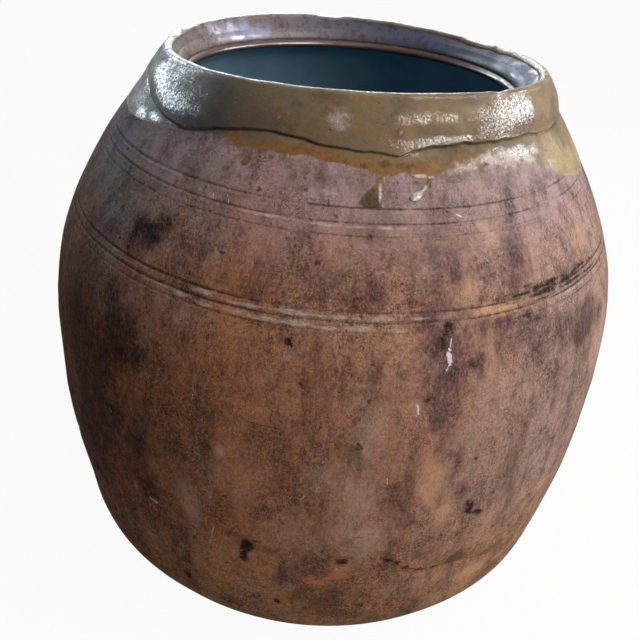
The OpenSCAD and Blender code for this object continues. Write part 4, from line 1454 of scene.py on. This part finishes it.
mottle = patches(tree, spot, (300, 300, 300), 0.42, 0.66, 9, 0.75)
burnt = patches(tree, spot, (420, 420, 420), 0.46, 0.66, 6, 0.7)
ochre_mask = frayed_stain(tree, ochre, spot, 110, 0.7, 0.15, 1.0)
colour = layers(tree, GLAZE_OLIVE, [
    (patches(tree, spot, (38, 38, 38), 0.46, 0.62, 8, 0.65), 0.6, GLAZE_AMBER),
    (patches(tree, spot, (48, 48, 48), 0.45, 0.66, 8, 0.7), 0.5, GLAZE_DARK),
    # darker blue-grey to the left: glaze tone and painted shade
    (ramp(tree, x, *TO_GREEN_AND_SHADE), 0.8, GLAZE_GREEN_AND_SHADE),
    (frayed_stain(tree, straw, spot, 90, 0.6, 0.1, 1.2), 0.9, GLAZE_STRAW),
    (ochre_mask, 0.9, GLAZE_OCHRE),
    (mottle, 0.18, GLAZE_DARK),
    (times(tree, burnt, ochre_mask), 0.5, GLAZE_BROWN),
    (frayed_stain(tree, browned, spot, 260, 0.8, 0.2, 0.9), 0.9, GLAZE_BROWN),
    (frayed_stain(tree, rust, spot, 140, 0.7, 0.3, 1.2), 0.85, GLAZE_RUST),
])
# Pale crust and painted glints, on the outside only
crust_and_glint_mask = frayed_stain(tree, crust_and_glints, spot, 240, 0.85, 0.15, 1.25, 0.45)
faded = frayed_stain(tree, thin, spot, 300, 0.9, 0.2, 0.9, 0.3)
rim_specks = times(tree, pits(tree, spot, 190, 0.45, 0.4), inside)
specks = sum_of(tree, "MAXIMUM", pits(tree, spot, 300, 0.34, 0.2), rim_specks)
cracked = frayed_stain(tree, crack, spot, 300, 0.7, 0.2, 0.9, 0.3)
colour = layers(tree, colour, [
    (inside, 1, rim_colour(tree, spot, x)),
    (times(tree, crust_and_glint_mask, rest_of(tree, inside)), 0.85, GLAZE_CRUST_AND_GLINT),
    # painted lilac reflections inside the rim
    (times(tree, frayed_reflection(tree, crust_and_glints, spot), inside), 0.85, LILAC_REFLECTION),
    (faded, 1, effect(tree, clay_body, spot)["Color"]),
    (specks, 0.65, GLAZE_DARK),
    (cracked, 0.55, LINE_DIRT),
])
print("nodes of the glaze's colour:", len(tree.nodes))

# %% Shine of the glaze
worn = spread(tree, patches(tree, spot, (700, 700, 700), 0.42, 0.58, 5, 0.75), 0.05, 1)
glassy = times(tree, frayed_stain(tree, shine, spot, 110, 0.7, 0.2, 1.2, 0.5), worn)
hidden = sum_of(tree, "MAXIMUM", sum_of(tree, "MAXIMUM", specks, cracked), times(tree, faded, 0.9))
film = times(tree, spread(tree, glassy, 0.02, 1), rest_of(tree, hidden))
height = sum_of(tree, "SUBTRACT", noise(tree, spot, 480, 4, 0.65), times(tree, specks, 0.8))
shade(tree, {
    "Base Color": colour, "Roughness": spread(tree, mottle, 0.5, 0.7),
    "Normal": bumped(tree, height, 0.7, 0.4), "Specular IOR Level": 0.025,
    "Coat Weight": film, "Coat Roughness": 0.12, "Coat IOR": 1.5,
    "Coat Normal": bumped(tree, noise(tree, spot, 800, 4), 0.8, 0.35)})
print("olive glaze nodes:", len(tree.nodes))

# %% [markdown]
# ## Inside glaze
# Seen from above, the inside is a dark teal with a cold shine. The rim over the throat is brown on one
# side and slate on the other, and the ridge itself is red-brown where the glaze ran thin.
# The height decides between them, and the rim has its own glassy places.

# %% Shine on the rim
RIDGE_HEIGHT = THROAT_HEIGHT + 1.2 * MM


def shine_rim(piece):
    angle, height = read_round(piece)[:2]
    lit = 0.2 + bell(angle_between(angle, -150), 30) + 0.6 * bell(angle_between(angle, 108), 14)
    ridge_gloss = 1.4 * lit * bell(height - RIDGE_HEIGHT, 1.3 * MM)
    shine = np.maximum(dabbed(angle, height, RIM_SHINE), ridge_gloss)
    # The second channel of the lining holds painted lilac reflections
    paint_vertices(piece, "finish", shine, dabbed(angle, height, RIM_LILAC_REFLECTION), 0 * shine, 0 * shine)


shine_rim(lining)

# %% Inside glaze material
DEEP_BLUE = chart(138, 176, 198)
DEEP_BLACK = chart(124, 162, 184)
DEEP_FLOOR = chart(62, 78, 86)
THROAT_BROWN = chart(84, 62, 54)

# Along z, in metres: where a change begins and where it is complete
TO_FLOOR = (0.14, 0.05)
TO_THROAT = (0.3270, 0.3290)
TO_RIDGE = (0.3302, 0.3318)
TO_RIM = (0.3325, 0.3350)

inside_glaze, tree = new_material("inside_glaze")
spot, (x, y, z) = coordinates(tree)
shine, lilac_reflection = read_paint(tree, "finish")[:2]
on_rim = ramp(tree, z, *TO_RIM)
specks = sum_of(tree, "MAXIMUM", pits(tree, spot, 240, 0.4, 0.25), pits(tree, spot, 150, 0.45, 0.3))
specks = times(tree, specks, on_rim)
colour = over(tree, patches(tree, spot, (30, 30, 16), 0.4, 0.65, 5), DEEP_BLUE, DEEP_BLACK)
colour = layers(tree, colour, [
    (ramp(tree, z, *TO_FLOOR), 0.8, DEEP_FLOOR),
    (ramp(tree, z, *TO_THROAT), 1, GLAZE_DARK),
    (ramp(tree, z, *TO_RIDGE), 1, THROAT_BROWN),
    # the rim, with its painted lilac reflections
    (on_rim, 1, layer(tree, rim_colour(tree, spot, x), frayed_reflection(tree, lilac_reflection, spot), 0.85, LILAC_REFLECTION)),
    (specks, 0.8, GLAZE_DARK),
])
glassy = frayed_stain(tree, shine, spot, 130, 0.8, 0.2, 1.1, 0.5)
film = times(tree, spread(tree, glassy, 0.06, 1), rest_of(tree, specks))
gloss = patches(tree, spot, (60, 60, 60), 0.35, 0.7, 5)
wavy = bumped(tree, noise(tree, spot, 420, 4), 0.5, 0.3)
shade(tree, {
    "Base Color": colour, "Roughness": spread(tree, gloss, 0.4, 0.6), "Normal": wavy,
    "Specular IOR Level": 0.1, "Coat Weight": film, "Coat Roughness": 0.16, "Coat IOR": 1.5,
    "Coat Normal": wavy})
print("inside glaze nodes:", len(tree.nodes))

# %% [markdown]
# ## Join the frame
# Every new piece rides on the jar's one body, takes the place of its CAD node, which is hidden, and gets its
# material. The base disc and the neck ring are right as they are, so they stay and only get the clay.

# %% Materials, bodies and nodes
DRESSED = [
    (foot, "foot_section", "clay", clay),
    (belly, "belly_section", "clay", clay),
    (shoulder, "shoulder_section", "clay", clay),
    (collar, "collar_band", "clay", clay),
    (glaze_coat, "collar_glaze", "collar_glaze", olive),
    (glaze_drops, "glaze_runs", "collar_glaze", olive),
    (lining, "interior_glaze", "inside_glaze", inside_glaze),
]
for piece, node, slot, material in DRESSED:
    piece.data.materials.clear()
    piece.data.materials.append(material)
    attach(piece, "root")
    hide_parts(node)
for node in ("base_disc", "neck_ring"):
    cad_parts[node].material_slots[0].material = clay
